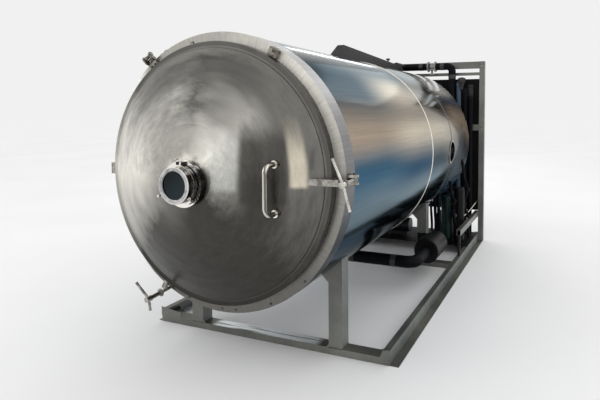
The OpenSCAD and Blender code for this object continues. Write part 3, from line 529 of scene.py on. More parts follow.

# %% [markdown]
# ## Flange
# The flange is a thick plate turned flat, and its skirt is a rolled band. They are ground, which is duller
# than the jacket, and short marks run across the face where a hand grinder went round it. Face and skirt
# turn to different parts of the room, so painted reflections tell them apart by the way they face. The left
# of the face has a painted highlight, a bright flat, with one thin line of painted shade along its inner
# edge, and its upper right is rubbed dull, so it is less metallic there.

# %% Flange face and skirt
# Painted reflections and highlights: tones round the circle for the face and the skirt.
FACE_TURN = round_turn(LIT, LAMP, LIT, LIT, LAMP, HALF, HALF, HALF)
SKIRT_TURN = [
    (0.0, grey(120)), (0.17, grey(190)), (0.3, grey(150)), (0.5, grey(190)), (0.72, tint(55, 60, 65)),
    (0.92, tint(45, 60, 70)), (1.0, grey(120))]
flange = Finish("flange_steel")
x, up, radius, along = from_axis(flange)
hand = flange.noise(flange.stretch(flange.place, (14.0, 3.0, 14.0)), 1.4, 3.0, 0.6)
turn = part_of_turn(flange, along, flange.sway(hand, 0.05))
# Painted highlight on the left of the face, with a thin line of painted shade along its inner edge.
left_side = flange.span(x, -0.50, -0.58)
painted_highlight_flat = flange.times(left_side, flange.span(radius, 0.752, 0.760))
face_tone = flange.mix(painted_highlight_flat, flange.ramp(turn, FACE_TURN, "LINEAR"), tint(252, 252, 250))
painted_shade_line = flange.times(flange.span(radius, 0.742, 0.746), flange.span(radius, 0.758, 0.754))
face_tone = flange.mix(flange.times(painted_shade_line, left_side, 0.85), face_tone, tint(96, 92, 84))
faces = flange.math("ABSOLUTE", flange.split(flange.facing)[1])
is_face = flange.span(faces, 0.4, 0.6)
tone = flange.mix(is_face, flange.ramp(turn, SKIRT_TURN), face_tone)

# %% Flange finish
rubbed_dull = flange.times(is_face, flange.span(x, 0.15, 0.45), flange.span(up, 0.0, 0.1))
bare_metal = flange.span(rubbed_dull, 0.0, 1.0, 1.0, 0.25)
marks = flange.noise(flange.vector(flange.times(along, 30.0), flange.times(radius, 4.0), 0.0), 1.6, 2.0, 0.6)
tone = flange.shade(tone, 1.0, marks, 0.25, 0.7, 226)
grit = flange.noise(flange.stretch(flange.place, (260.0, 260.0, 260.0)), 1.0, 2.0)
flange_steel = flange.shader(tone, flange.span(hand, 0.2, 0.8, 0.26, 0.42), bare_metal,
                             flange.bump(grit, 0.08, 0.0004))
dress(flange_steel, "front_flange")

# %% [markdown]
# ## Plain metals
# Most other steel on the machine is one of a few kinds: bright polished trim,
# satin steel inside, machined clamps, dull pins. They differ in tone, gloss
# and the scale of their marks, so one recipe with different numbers makes
# them all, and each still gets clouds, fine grain and a varied gloss.

# %% Metal recipe
def plain_metal(name, dark, light, gloss, cloud_scale, grain_scale, grain_depth, metallic=1.0):
    metal = Finish(name)
    clouds = metal.noise(metal.place, cloud_scale, 4.0, 0.6)
    grain = metal.noise(metal.stretch(metal.place, grain_scale), 1.0, 3.0, 0.6)
    tone = metal.ramp(clouds, [(0.3, dark), (0.7, light)])
    tone = metal.shade(tone, 0.6, grain, 0.3, 0.7, 205)
    return metal.shader(tone, metal.span(grain, 0.2, 0.8, *gloss), metallic,
                        metal.bump(grain, grain_depth, 0.0006))


# %% [markdown]
# Polished tube and rings show the room as thin bright and dark bands that follow their curve. These painted
# reflections are set by the way the surface faces, as the part itself sees the room, so they stay put when
# the camera moves.

# %% Polished trim
polished = Finish("bright_steel")
nx, ny, nz = polished.split(polished.facing)
wisps = polished.noise(polished.place, 18.0, 3.0)
# Painted reflections, set by the way the surface faces.
lean = polished.plus(polished.times(nx, 0.62), polished.times(nz, 0.48), polished.times(ny, -0.25))
seat = polished.plus(polished.span(lean, -1.0, 1.0), polished.sway(wisps, 0.08))
tone = polished.ramp(seat, [
    (0.00, grey(70)), (0.14, grey(120)), (0.24, tint(214, 210, 200)), (0.34, grey(96)), (0.44, grey(120)),
    (0.54, tint(196, 190, 178)), (0.62, tint(246, 243, 236)), (0.70, tint(160, 154, 144)),
    (0.80, grey(84)), (0.90, tint(206, 200, 190)), (1.00, grey(240))], "LINEAR")
hairs = polished.noise(polished.stretch(polished.place, (160, 160, 60)), 1.0, 2.0)
bright_steel = polished.shader(tone, polished.span(hairs, 0.2, 0.8, 0.08, 0.18), 1.0,
                               polished.bump(hairs, 0.02, 0.0004))
dress(bright_steel, "port_frame", "door_handle")

# %% [markdown]
# The rings of the sight glass are turned from bar. Their faces are satin with painted highlights on their
# edges, and their sides carry painted reflections of the dark lower half of the workshop, so they are nearly
# black on the right and below, and bright above.

# %% Sight glass rings
turned = Finish("turned_steel")
x, _, z = turned.split(turned.place)
to_middle = from_glass(turned, x, z)
facing_x, facing_y, facing_z = turned.split(turned.facing)
swarf = turned.noise(turned.place, 30.0, 3.0)
lean = turned.plus(turned.times(facing_x, -0.60), turned.times(facing_z, 0.66), turned.sway(swarf, 0.5))
# Painted reflections on the ring sides.
side_tone = turned.ramp(turned.span(lean, -1.0, 1.0), [
    (0.00, grey(16)), (0.22, grey(60)), (0.30, grey(18)), (0.46, grey(30)), (0.54, grey(190)),
    (0.60, grey(60)), (0.72, grey(150)), (0.84, tint(246, 242, 234)), (1.00, grey(120))], "LINEAR")
face_tone = turned.ramp(turned.span(lean, -0.3, 0.3), [(0.2, grey(110)), (0.6, grey(196))])
# Painted highlights on the inner and outer edges of the ring faces.
edge = turned.math("MAXIMUM", turned.span(to_middle, 0.091, 0.0935), turned.span(to_middle, 0.0745, 0.072))
face_tone = turned.mix(edge, face_tone, tint(244, 241, 234))
tone = turned.mix(turned.span(turned.math("ABSOLUTE", facing_y), 0.5, 0.8), side_tone, face_tone)
hairs = turned.noise(turned.stretch(turned.place, (160, 60, 160)), 1.0, 2.0)
dress(turned.shader(tone, turned.span(hairs, 0.2, 0.8, 0.10, 0.22), 1.0,
                    turned.bump(hairs, 0.02, 0.0004)), "sight_nozzle")

# %% [markdown]
# The bead over the first seam is a polished half-round strip. The second seam
# is only a folded edge, filled with grey putty, so it stays much darker.

# %% Seam beads
seam = Finish("seam_bead")
_, seam_y, _ = seam.split(seam.place)
second = seam.span(seam_y, FACE_Y + 2.0, FACE_Y + 2.1)
rubbed = seam.noise(seam.stretch(seam.place, (30, 200, 30)), 1.0, 3.0)
bead_tone = seam.mix(second, seam.ramp(rubbed, [(0.3, tint(226, 219, 204)), (0.7, tint(252, 248, 238))]),
                     seam.ramp(rubbed, [(0.3, tint(70, 74, 74)), (0.7, tint(112, 112, 106))]))
dress(seam.shader(bead_tone, seam.span(rubbed, 0.3, 0.7, 0.14, 0.24), 0.8,
                  seam.bump(rubbed, 0.05, 0.0004)), "seam_bands")

# %% [markdown]
# The steels inside the chamber are satin. The clamps are machined and handled, so they are mottled, and the
# right T-nut is a paler, glossier copy of the clamp steel, as a painted highlight. The clip and bracket on
# the flange are left dull, as are pins, screws and the cover.

# %% Steels from the recipe
inner_steel = plain_metal("inner_steel", grey(158), grey(190), (0.30, 0.45), 3.0, (40, 200, 40), 0.05)
dress(inner_steel, "chamber_shell", "shelf_rack", "heating_shelves", "fluid_manifold")
coil_steel = plain_metal("coil_steel", grey(140), grey(176), (0.25, 0.4), 8.0, (120, 120, 120), 0.05)
dress(coil_steel, "condenser_coil")
clamp_steel = plain_metal("clamp_steel", tint(118, 116, 112), tint(196, 192, 184),
                          (0.22, 0.38), 26.0, (150, 150, 150), 0.10)
dress(clamp_steel, "clamp_lugs", "hinge_bracket", "clamp_lands", "door_hinge_leaf",
      "swing_bolt_right", "washer_right", "swing_bolt_lower", "washer_lower", "t_nut_lower")
# Painted highlight: a paler copy of the clamp steel for the right T-nut.
highlit_clamp_steel = plain_metal("highlit_clamp_steel", tint(176, 174, 168), tint(240, 238, 230),
                            (0.16, 0.28), 18.0, (120, 120, 120), 0.05)
dress(highlit_clamp_steel, "t_nut_right")
dull_steel = plain_metal("dull_steel", tint(58, 57, 52), tint(168, 164, 154),
                         (0.28, 0.42), 42.0, (150, 150, 150), 0.10)
pin_steel = plain_metal("pin_steel", grey(72), grey(128), (0.35, 0.5), 30.0, (200, 200, 200), 0.10)
dress(pin_steel, "lug_pins", "hinge_pin", "flange_screws")
end_steel = plain_metal("end_steel", grey(70), grey(104), (0.28, 0.42), 2.2, (30, 30, 160), 0.04)
dress(end_steel, "end_cover")

# %% [markdown]
# ## Frame
# The frame is folded and welded stainless, blasted dull with glass beads. It
# has no mirror left: it is a warm grey with faint scratches along its length
# and darker smudges where it was handled. Metal alone would turn it pale under
# this sky, so it is only partly metallic.

# %% Frame finish
blasted = Finish("frame_grey")
smudge = blasted.noise(blasted.place, 2.6, 5.0, 0.6)
scratch = blasted.noise(blasted.stretch(blasted.place, (30.0, 1.6, 4.0)), 9.0, 3.0, 0.7)
facing_x, _, facing_z = blasted.split(blasted.facing)
across, back, height = blasted.split(blasted.place)
# Painted light and shade: faces turned outward are lighter, as lit by the sky, and flat tops are darker, as
# shaded by the barrel.
outward = blasted.span(blasted.math("ABSOLUTE", facing_x), 0.5, 0.9)
flat_top = blasted.span(facing_z, 0.5, 0.9)
plain_tone, side_tone, shaded_top_tone = (
    blasted.ramp(smudge, [(0.28, dark), (0.72, light)]) for dark, light in (
        (tint(104, 105, 101), tint(134, 134, 129)),
        (tint(110, 116, 114), tint(142, 146, 142)),
        (tint(72, 74, 70), tint(112, 111, 102))))
tone = blasted.mix(flat_top, blasted.mix(outward, plain_tone, side_tone), shaded_top_tone)

# %% [markdown]
# The top of the front beam still has strips of its pale wrapping film between
# the legs. The short posts at the front of the side bars stand in the barrel's
# shade. The lamps are too soft to draw that, so the posts are darkened here.

# %% Film and dark posts on the frame
streaky = blasted.noise(blasted.stretch(blasted.place, (2.2, 34.0, 1.0)), 1.0, 2.0, 0.5)
film = blasted.times(blasted.span(blasted.math("ABSOLUTE", across), 0.43, 0.37, smooth=True),
                     blasted.span(back, 0.06, 0.05), flat_top, blasted.span(streaky, 0.36, 0.50))
tone = blasted.mix(film, tone, tint(244, 248, 250))
tone = blasted.shade(tone, 0.5, scratch, 0.3, 0.62, 205)
short_post = blasted.times(blasted.span(back, 1.98, 1.985), blasted.span(back, 2.12, 2.11),
                           blasted.span(height, 0.30, 0.28), blasted.span(height, 0.089, 0.092))
tone = blasted.mix(short_post, tone, grey(26))
beads = blasted.noise(blasted.place, 520.0, 2.0)
frame_grey = blasted.shader(tone, blasted.span(smudge, 0.3, 0.7, 0.42, 0.58), 0.55,
                            blasted.bump(beads, 0.10, 0.0005))
dress(frame_grey, "front_beam", "rear_beam", "side_rail_left", "side_rail_right",
      "leg_front_left", "leg_front_right", "leg_rear_left", "leg_rear_right",
      "corner_gussets", "portal_post_left", "portal_post_right", "portal_top_beam",
      "portal_cross_bars", "side_bars")

# %% [markdown]
# ## Paint, rubber and glass
# Machines under the barrel are painted, in black, a deep green and a slate
# pump blue, with dust on what faces up. The pipes wear black foam rubber,
# which has no shine and small dimples. Sprayed paint has an orange-peel skin,
# so a fine noise bump is what tells it from plastic.

# %% Paint recipe
def paint(name, color, dusty, gloss, shine):
    coat = Finish(name)
    wear = coat.noise(coat.place, 5.0, 5.0, 0.65)
    skin = coat.noise(coat.place, 240.0, 2.0)
    upward = coat.span(coat.split(coat.facing)[2], 0.3, 1.0)
    dust = coat.times(upward, coat.span(wear, 0.35, 0.7))
    tone = coat.mix(coat.times(dust, 0.55), coat.ramp(wear, [(0.3, color), (0.75, dusty)]), dusty)
    return coat.shader(tone, coat.span(dust, 0.0, 1.0, gloss, 0.75), 0.0,
                       coat.bump(skin, 0.05, 0.0006), Specular_IOR_Level=shine)


# %% Painted machines
for name, color, dusty, gloss, shine, painted in (
        ("dark_sheet", grey(10), grey(24), 0.55, 0.12, ("rear_panel", "machine_deck", "port_cover")),
        ("black_paint", grey(8), grey(20), 0.38, 0.14,
         ("compressor", "accumulator_vessel", "receiver_drum")),
        ("pump_paint", tint(20, 26, 34), tint(40, 44, 48), 0.4, 0.3, ("vacuum_pump",)),
        ("green_paint", tint(4, 28, 27), tint(20, 42, 40), 0.3, 0.25, ("separator_vessel",)),
        ("duct_black", tint(12, 13, 15), tint(30, 31, 33), 0.42, 0.2, ("top_duct",)),
        ("valve_metal", tint(104, 108, 110), tint(150, 150, 146), 0.4, 0.5, ("valve_body", "valve_wheel"))):
    dress(paint(name, color, dusty, gloss, shine), *painted)
    print(name, "on", len(painted), "pieces")

# %% [markdown]
# The innermost riser at the rear panel is left bare, so it shows blue-grey
# pipe. It is one node with the lagged risers, and is told from them by its
# place.

# %% Pipe insulation
wrap = Finish("pipe_insulation")
dimples = wrap.noise(wrap.place, 160.0, 3.0, 0.6)
scuff = wrap.noise(wrap.place, 7.0, 5.0, 0.6)
pipe_x, pipe_y, _ = wrap.split(wrap.place)
bare = wrap.times(wrap.span(pipe_x, 0.628, 0.63), wrap.span(pipe_x, 0.694, 0.692),
                  wrap.span(pipe_y, 2.84, 2.85))
foam_tone = wrap.ramp(scuff, [(0.3, tint(5, 6, 9)), (0.75, tint(15, 16, 21))])
foam_rubber = wrap.shader(wrap.mix(bare, foam_tone, tint(70, 84, 98)),
                          wrap.span(scuff, 0.3, 0.7, 0.42, 0.62), 0.0,
                          wrap.bump(dimples, 0.25, 0.001), Specular_IOR_Level=0.08)
dress(foam_rubber, "drain_pipe", "suction_pipe", "riser_pipes")

# %% [markdown]
# The gasket is a pale silicone ring, and the insulation between the two shells
# is a cream foam with open cells. Both are dull.

# %% Gasket and foam
seal = Finish("seal_rubber")
bloom = seal.noise(seal.place, 30.0, 3.0)
dress(seal.shader(seal.ramp(bloom, [(0.3, tint(190, 186, 176)), (0.7, tint(214, 210, 200))]), 0.6, 0.0,
                  seal.bump(bloom, 0.05, 0.0005)), "door_gasket")
core = Finish("foam")
cells = core.noise(core.place, 90.0, 3.0)
dress(core.shader(core.ramp(cells, [(0.3, tint(196, 172, 120)), (0.7, tint(224, 204, 156))]), 0.9, 0.0,
                  core.bump(cells, 0.3, 0.002)), "insulation")

# %% [markdown]
# The sight glass is thick and dark, because the chamber behind it is unlit.
# Clear glass would show a pale sky through the open barrel, so the finish is deep blue-green and glossy,
# with painted light a little lighter towards its lower right.

# %% Sight glass
pane = Finish("sight_glass")
x, up, _, _ = from_axis(pane)
depth = pane.math("SUBTRACT", x, up)
smoky = pane.noise(pane.place, 9.0, 3.0)
# Painted light: the pane is lighter towards its lower right.
lit = pane.span(pane.plus(depth, pane.times(smoky, 0.06)), -0.06, 0.12, smooth=True)
sight_glass = pane.shader(pane.mix(lit, tint(3, 8, 10), tint(22, 36, 40)),
                          pane.span(smoky, 0.2, 0.8, 0.03, 0.08), 0.0, None, Specular_IOR_Level=0.18)
dress(sight_glass, "sight_glass")

# %% [markdown]
# ## Small fittings
# A maker also sees bolts, beads of weld, tape and threads. Each could be a
# ready-made primitive, but those have sharp, perfect edges. Here every fitting
# is drawn from its own outline: turned round an axis, pulled through a plate,
# or swept along a path, with its edges broken as a file would break them.

# %% Shape helpers
def aim(place, axis, spin=0.0):
    turn = Vector(axis).to_track_quat("Z", "Y").to_matrix().to_4x4()
    return Matrix.Translation(place) @ turn @ Matrix.Rotation(spin, 4, "Z")


def turn_profile(build, profile, where, steps=32):
    rings = []
    for radius, height in profile:
        ring = []
        for step in range(steps):
            way = 2 * math.pi * step / steps
            ring.append(build.verts.new(where @ Vector(
                (radius * math.cos(way), radius * math.sin(way), height))))
        rings.append(ring)
    for low, high in zip(rings, rings[1:]):
        for step in range(steps):
            after = (step + 1) % steps
            build.faces.new((low[step], low[after], high[after], high[step]))
    build.faces.new(rings[0][::-1])
    build.faces.new(rings[-1])


def cut_plate(build, outline, thick, where, edge=0.001):
    low = [build.verts.new(Vector((x, y, 0.0))) for x, y in outline]
    face = build.faces.new(low)
    pulled = bmesh.ops.extrude_face_region(build, geom=[face])
    high = [v for v in pulled["geom"] if isinstance(v, bmesh.types.BMVert)]
    bmesh.ops.translate(build, verts=high, vec=(0.0, 0.0, thick))
    verts = low + high
    edges = list({e for v in verts for e in v.link_edges})
    made = bmesh.ops.bevel(build, geom=verts + edges, offset=edge, segments=2, affect="EDGES")
    done = {v for f in made["faces"] for v in f.verts} | {v for v in verts if v.is_valid}
    bmesh.ops.transform(build, matrix=where, verts=list(done))


def sweep(build, path, radius, sides=12, ripple=0.0):
    points = [Vector(p) for p in path]
    rings, up = [], None
    for index, point in enumerate(points):
        ahead = points[min(index + 1, len(points) - 1)] - points[max(index - 1, 0)]
        ahead.normalize()
        if up is None:
            up = ahead.orthogonal().normalized()
        up = (up - ahead * up.dot(ahead)).normalized()
        across = ahead.cross(up)
        here = radius * (1.0 + ripple * math.sin(index * 2.1))
        rings.append([build.verts.new(point + here * (
            math.cos(2 * math.pi * k / sides) * up + math.sin(2 * math.pi * k / sides) * across))
            for k in range(sides)])
    for low, high in zip(rings, rings[1:]):
        for k in range(sides):
            build.faces.new((low[k], low[(k + 1) % sides], high[(k + 1) % sides], high[k]))
    build.faces.new(rings[0][::-1])
    build.faces.new(rings[-1])


SHARP_EDGE = math.radians(35.0)


def finish_piece(name, build, material, body):
    bmesh.ops.recalc_face_normals(build, faces=build.faces)
    mesh = bpy.data.meshes.new(name)
    build.to_mesh(mesh)
    build.free()
    mesh.materials.append(material)
    mesh.shade_smooth()
    mesh.set_sharp_from_angle(angle=SHARP_EDGE)
    piece = bpy.data.objects.new(name, mesh)
    scene.collection.objects.link(piece)
    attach(piece, body)
    print(name, len(mesh.polygons), "faces")


def on_barrel(degrees, radius, back):
    way = math.radians(degrees)
    return Vector((radius * math.cos(way), FACE_Y + back, AXIS_Z + radius * math.sin(way)))


HEX_HEAD = [(0.50, 0.0), (0.50, 0.55), (0.42, 0.62)]
WASHER_T = 0.12


def hex_bolt(build, place, axis, across):
    """A hex head on a washer, sized by the distance across its corners."""
    where = aim(place, axis)
    washer_r = across * 1.25 * 0.5
    turn_profile(build, [(washer_r, 0.0), (washer_r, across * WASHER_T), (across * 0.3, across * 0.13)],
                 where, 24)
    turn_profile(build, [(r * across, h * across + across * WASHER_T) for r, h in HEX_HEAD], where, 6)


def rectangle(half_x, half_y):
    return [(-half_x, -half_y), (half_x, -half_y), (half_x, half_y), (-half_x, half_y)]


# %% [markdown]
# ### Clip on the flange
# A small dull block sits on the flange face, up on the right, and a thin plate
# lies near the top. The block is a filed plate with one screw. A plain cube
# would do from far off, but its sharp edges would catch no light.

# %% Flange clip
def on_flange(degrees, radius, front=0.0):
    """A place on the flange face: its first way points outward, its third to the viewer."""
    way = math.radians(degrees)
    spot = on_barrel(degrees, radius, -front)
    return Matrix(((math.cos(way), -math.sin(way), 0, spot[0]), (0, 0, -1, spot[1]),
                   (math.sin(way), math.cos(way), 0, spot[2]), (0, 0, 0, 1)))


clip = bmesh.new()
clip_at = on_flange(60.0, FLANGE_R - 0.031)
cut_plate(clip, rectangle(0.023, 0.031), 0.028, clip_at, 0.003)
hex_bolt(clip, clip_at @ Vector((0.006, 0.004, 0.0275)), (0, -1, 0), 0.014)
cut_plate(clip, rectangle(0.012, 0.010), 0.006, on_flange(103.0, FLANGE_R - 0.040), 0.001)
finish_piece("flange_clip", clip, dull_steel, "root")

# %% [markdown]
# ### Bracket at the upper left
# The third clamp hangs from a forged bracket that is screwed on the flange
# face and reaches past its rim. It could be one block, but its two cheeks, the
# bar between them and its screws are what make it read as a forging.

# %% Upper bracket
bracket = bmesh.new()
seat_at = on_flange(125.5, 0.790)
cut_plate(bracket, [(-0.037, -0.030), (0.012, -0.033), (0.030, -0.026), (0.030, 0.026), (0.012, 0.033),
                    (-0.037, 0.030)], 0.018, seat_at, 0.003)
CHEEK_T = 0.012
upright = Matrix.Rotation(math.radians(90), 4, "X")
for side_at in (-0.027, 0.027):
    cheek = seat_at @ Matrix.Translation((0.0, side_at + CHEEK_T / 2, 0.0)) @ upright
    cut_plate(bracket, [(-0.004, 0.016), (0.048, 0.010), (0.056, 0.024), (0.050, 0.038), (0.034, 0.044),
                        (0.006, 0.034)], CHEEK_T, cheek, 0.002)
sweep(bracket, [seat_at @ Vector((0.036, off, 0.027)) for off in (-0.036, 0.0, 0.036)], 0.010, 20)
for off_x, off_y in ((-0.022, -0.014), (-0.022, 0.015), (0.008, 0.0)):
    hex_bolt(bracket, seat_at @ Vector((off_x, off_y, 0.0175)), (0, -1, 0), 0.013)
finish_piece("upper_bracket", bracket, dull_steel, "root")

# %% [markdown]
# ### Fittings on the door
# Left of the sight glass a short capped tap comes out of the dome. The glass
# is held by two bolts with hex heads, seated on the ears of the clamp ring.
# Both ride on the door, so they swing away with it.

# %% Door tap and sight-glass bolts
RING_STANDS_OUT = 0.0523


def dome_front(x, up):
    """The dome's outer face at a place, from its box and its edge."""
    apex = door_low[1]
    rise = FACE_Y - RING_STANDS_OUT - apex
    ball = (DOOR_R ** 2 + rise ** 2) / (2 * rise)
    return apex + ball - math.sqrt(ball ** 2 - x ** 2 - up ** 2)


TAP_X, TAP_UP = -0.197, -0.100
tap = bmesh.new()
turn_profile(tap, [(0.010, -0.006), (0.010, 0.003), (0.006, 0.006), (0.006, 0.012), (0.009, 0.013),
                   (0.009, 0.021), (0.007, 0.023)],
             aim((TAP_X, dome_front(TAP_X, TAP_UP), AXIS_Z + TAP_UP), (0, -1, 0)), 32)
finish_piece("door_tap", tap, bright_steel, "door")

eye = bmesh.new()
for degrees, reach in ((92.0, 0.113), (-52.0, 0.111)):
    spot = on_barrel(degrees, reach, 0.0)
    front = Vector((spot[0], SIGHT_LOW[1] + 0.026, spot[2]))
    turn_profile(eye, [(0.0048, -0.010), (0.0048, 0.012), (0.0035, 0.014)], aim(front, (0, -1, 0)), 20)
    hex_bolt(eye, front + Vector((0, 0.004, 0)), (0, -1, 0), 0.016)
finish_piece("sight_glass_bolts", eye, bright_steel, "door")

# %% [markdown]
# ### Threads on the swing bolts
# Between its eye and its washer each swing bolt shows its thread. A bump map
# could suggest it, but a fine helix swept round the shank gives real ridges
# that catch the light.

# %% Bolt threads
JOINTS = {joint["name"]: joint for joint in frame["record"]["behaviour"]["joints"]}
THREAD_PITCH = 0.003
THREAD_R = 0.0088
STEPS_A_TURN = 14


def bolt_thread(side_name, start, end):
    pivot = Vector(JOINTS["clamp_swing_" + side_name]["pos_m"])
    along = Vector(JOINTS["washer_travel_" + side_name]["axis"]).normalized()
    side = along.orthogonal().normalized()
    third = along.cross(side)
    turns = (end - start) / THREAD_PITCH
    path = []
    for step in range(int(turns * STEPS_A_TURN)):
        way = 2 * math.pi * step / STEPS_A_TURN
        path.append(pivot + along * (start + THREAD_PITCH * step / STEPS_A_TURN)
                    + THREAD_R * (math.cos(way) * side + math.sin(way) * third))
    thread = bmesh.new()
    sweep(thread, path, 0.0009, 5)
    finish_piece("bolt_thread_" + side_name, thread, clamp_steel, "bolt_" + side_name)


bolt_thread("right", 0.030, 0.164)
bolt_thread("lower", 0.030, 0.108)

# %% [markdown]
# ### Beads of weld
# Legs, gussets and posts are welded to the beams. A bead is a row of small
# overlapping scales, so a thin sweep whose width swells and narrows along its
# way reads as weld without any texture.

# %% Weld beads
beads = bmesh.new()


def weld(first, last, radius=0.0032):
    first, last = Vector(first), Vector(last)
    count = max(8, int((last - first).length / 0.003))
    sweep(beads, [first.lerp(last, k / count) for k in range(count + 1)], radius, 8, 0.22)


PROUD = 0.001
LEG_INNER, LEG_OUTER = 0.486, 0.578
_, beam_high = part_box("front_beam")
beam_back, beam_top = beam_high[1], beam_high[2]
for side, side_name in ((-1, "left"), (1, "right")):
    inner, outer = side * LEG_INNER, side * LEG_OUTER
    front_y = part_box("leg_front_" + side_name)[0][1]
    rear_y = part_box("leg_rear_" + side_name)[0][1]
    for leg_y in (front_y, rear_y):
        weld((inner, leg_y - PROUD, beam_top), (outer, leg_y - PROUD, beam_top))
    for edge in (inner, outer):
        weld((edge, front_y, beam_top + PROUD), (edge, beam_back, beam_top + PROUD))
    low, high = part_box("portal_post_" + side_name)
    weld((low[0], low[1] - PROUD, low[2] + PROUD), (high[0], low[1] - PROUD, low[2] + PROUD))
finish_piece("weld_beads", beads, pin_steel, "root")

# %% [markdown]
# ### Bolts on the portal and the valve
# The cross bars are held to the posts by hex bolts, and the valve sits between
# its two flanges on four studs with a nut at each end.

# %% Portal bolts
portal_bolts = bmesh.new()
bars_low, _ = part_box("portal_cross_bars")
top_low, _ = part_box("portal_top_beam")
for height in (bars_low[2] + 0.034, top_low[2] + 0.039):
    for name in ("portal_post_right", "portal_post_left"):
        low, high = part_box(name)
        for up in (-0.016, 0.016):
            hex_bolt(portal_bolts, ((low[0] + high[0]) / 2, low[1], height + up), (0, -1, 0), 0.017)
finish_piece("portal_bolts", portal_bolts, clamp_steel, "root")

# %% Valve studs
STUD_CIRCLE_R = 0.051
STUD_END = 0.006
valve_low, valve_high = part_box("valve_body")
valve_y = (valve_low[1] + valve_high[1]) / 2
valve_z = valve_high[2] - 0.060
studs = bmesh.new()
for k in range(4):
    way = math.radians(45 + 90 * k)
    y, z = valve_y + STUD_CIRCLE_R * math.cos(way), valve_z + STUD_CIRCLE_R * math.sin(way)
    near, far = Vector((valve_low[0] - STUD_END, y, z)), Vector((valve_high[0] + STUD_END, y, z))
    sweep(studs, [near, near.lerp(far, 0.5), far], 0.0035, 12)
    hex_bolt(studs, (valve_low[0], y, z), (-1, 0, 0), 0.012)
    hex_bolt(studs, (valve_high[0], y, z), (1, 0, 0), 0.012)
finish_piece("valve_studs", studs, bright_steel, "root")

# %% [markdown]
# ### Tape on the insulated pipes
# Foam rubber comes in lengths of about a metre. Every joint is closed with a
# turn of tape, which sits a little proud and is smoother than the foam.

# %% Tape bands
tape = Finish("tape_black")
creases = tape.noise(tape.stretch(tape.place, (60.0, 60.0, 9.0)), 2.0, 3.0)
tape_black = tape.shader(tape.ramp(creases, [(0.3, grey(22)), (0.7, grey(44))]),
                         tape.span(creases, 0.2, 0.8, 0.3, 0.5), 0.0, tape.bump(creases, 0.2, 0.001))
bands_of_tape = bmesh.new()
TAPE_HALF = 0.024


def tape_band(middle, axis, radius):
    under, over = radius - 0.001, radius + 0.0016
    turn_profile(bands_of_tape, [(under, -TAPE_HALF), (over, -TAPE_HALF + 0.001),
                                 (over, TAPE_HALF - 0.001), (under, TAPE_HALF)],
                 aim(middle, axis), 48)


SUCTION_R, DRAIN_R = 0.042, 0.050
_, suction_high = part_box("suction_pipe")
drop_x, suction_y, suction_z = (reach - SUCTION_R for reach in suction_high)
for along_x in (0.215, 0.305, 0.47):
    tape_band((along_x, suction_y, suction_z), (1, 0, 0), SUCTION_R)
for height in (1.90, 1.45, 0.95, 0.55):
    tape_band((drop_x, suction_y, height), (0, 0, 1), SUCTION_R)
drain_low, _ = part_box("drain_pipe")
for along_x in (0.12, 0.50):
    tape_band((along_x, drain_low[1] + DRAIN_R, drain_low[2] + DRAIN_R), (1, 0, 0), DRAIN_R)
finish_piece("pipe_tape", bands_of_tape, tape_black, "root")

# %% [markdown]
# ### Lagged lines between the machines
# Oil and gas lines run from under the barrel to the machines in rigid pipe with black foam on it. Straight
# rods with corners would look like a frame, so each line is a smooth curve through a few given places,
# chosen to clear the machines. Two of the lines have thicker sleeves over their bends.

# %% Lagged lines
def smooth_way(places, per_span=10):
    points = [Vector(p) for p in places]
    points = [points[0] * 2 - points[1]] + points + [points[-1] * 2 - points[-2]]
    way = []
    for a, b, c, d in zip(points, points[1:], points[2:], points[3:]):
        for step in range(per_span):
            t = step / per_span
            way.append(0.5 * (2 * b + (c - a) * t + (2 * a - 5 * b + 4 * c - d) * t ** 2
                              + (3 * b - a - 3 * c + d) * t ** 3))
    return way + [points[-2]]


vessel_line = [(0.700, 2.33, 0.782), (0.712, 2.33, 0.66), (0.742, 2.34, 0.56), (0.728, 2.35, 0.45),
               (0.752, 2.35, 0.34), (0.790, 2.34, 0.24), (0.800, 2.36, 0.12)]
rail_line = [(0.778, 2.56, 0.985), (0.800, 2.56, 0.80), (0.842, 2.54, 0.66), (0.806, 2.545, 0.50),
             (0.850, 2.56, 0.36), (0.842, 2.60, 0.20), (0.842, 2.66, 0.108)]
lines = bmesh.new()
for x, start_z, radius in ((0.590, 0.632, 0.016), (0.628, 0.676, 0.018), (0.548, 0.588, 0.013)):
    sweep(lines, smooth_way([(x, 2.14, start_z), (x, 2.14, 0.50), (x + 0.006, 2.15, 0.36),
                             (x, 2.18, 0.22), (x, 2.28, 0.125), (x, 2.40, 0.108)]), radius, 14)
sweep(lines, smooth_way(vessel_line), 0.015, 14)
sweep(lines, smooth_way(rail_line), 0.014, 14)
for sleeve_at in (*vessel_line[2:4], *rail_line[2:4]):
    turn_profile(lines, [(0.010, -0.026), (0.022, -0.022), (0.025, -0.006), (0.025, 0.008),
                         (0.020, 0.022), (0.010, 0.026)], aim(sleeve_at, (0.2, 0.1, 1.0)), 20)
finish_piece("lagged_lines", lines, foam_rubber, "root")

# %% Bare line
bare_line = bmesh.new()
sweep(bare_line, smooth_way([(0.742, 2.46, 0.330), (0.790, 2.55, 0.352), (0.838, 2.72, 0.402),
                             (0.868, 2.86, 0.452), (0.872, 2.96, 0.470)]), 0.007, 12)
finish_piece("bare_line", bare_line, bright_steel, "root")

# %% [markdown]
# ### Gauge, vent cap and switch plate
# A small gauge looks forward from the black vessel, a vent cap stands by
# the tops of the risers, and a plain dark plate stands in front of the rear panel.
# Each is one turned or cut form: nothing on them can be read or opened.

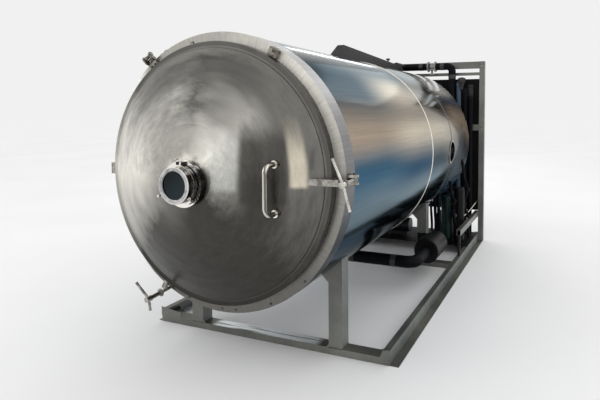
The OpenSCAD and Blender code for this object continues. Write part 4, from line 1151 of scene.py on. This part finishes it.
# %% Rear fittings
gauge = bmesh.new()
turn_profile(gauge, [(0.006, -0.020), (0.006, 0.004), (0.024, 0.006), (0.026, 0.010), (0.026, 0.020),
                     (0.022, 0.023), (0.021, 0.019)], aim((0.742, 2.392, 0.400), (-0.25, -1, 0.05)), 32)
finish_piece("vessel_gauge", gauge, pin_steel, "root")
cap_steel = plain_metal("cap_steel", grey(38), grey(66), (0.35, 0.5), 20.0, (120, 120, 120), 0.08, 0.6)
vent = bmesh.new()
turn_profile(vent, [(0.020, -0.120), (0.024, -0.080), (0.034, -0.050), (0.046, -0.020), (0.048, 0.000),
                    (0.038, 0.014), (0.014, 0.022)], aim((0.700, 2.880, 1.868), (0, 0, 1)), 32)
finish_piece("vent_cap", vent, cap_steel, "root")
plate = bmesh.new()
plate_at = Matrix(((1, 0, 0, 0.792), (0, 0, -1, 2.9525), (0, 1, 0, 1.610), (0, 0, 0, 1)))
cut_plate(plate, [(-0.028, -0.200), (0.028, -0.200), (0.028, 0.190), (0.020, 0.200), (-0.020, 0.200),
                  (-0.028, 0.190)], 0.006, plate_at, 0.001)
finish_piece("switch_plate", plate, cap_steel, "root")

# %% [markdown]
# ### Rivets and knob on the duct
# The duct's sides are riveted to a frame inside, along a line that follows the
# slope of its top, and a small black knob sits on the top.

# %% Duct fittings
TOP_SLOPE = 0.0352
NOSE_LENGTH = 0.146
duct_low, duct_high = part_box("top_duct")
duct_trim = bmesh.new()


def duct_top(back):
    return duct_high[2] - TOP_SLOPE * (back - duct_low[1] - NOSE_LENGTH)


for k in range(12):
    back = duct_low[1] + 0.22 + k * 0.125
    line = duct_top(back) - 0.030
    if line > AXIS_Z + JACKET_R + 0.012:
        turn_profile(duct_trim, [(0.006, -0.001), (0.0052, 0.0018), (0.003, 0.0030)],
                     aim((duct_high[0], back, line), (1, 0, 0)), 16)
knob_y = FACE_Y + 2.60
turn_profile(duct_trim, [(0.017, -0.004), (0.017, 0.006), (0.008, 0.009), (0.008, 0.020),
                         (0.020, 0.024), (0.022, 0.034), (0.016, 0.040)],
             aim((duct_high[0] - 0.029, knob_y, duct_top(knob_y)), (0, 0, 1)), 28)
finish_piece("duct_trim", duct_trim, tape_black, "root")
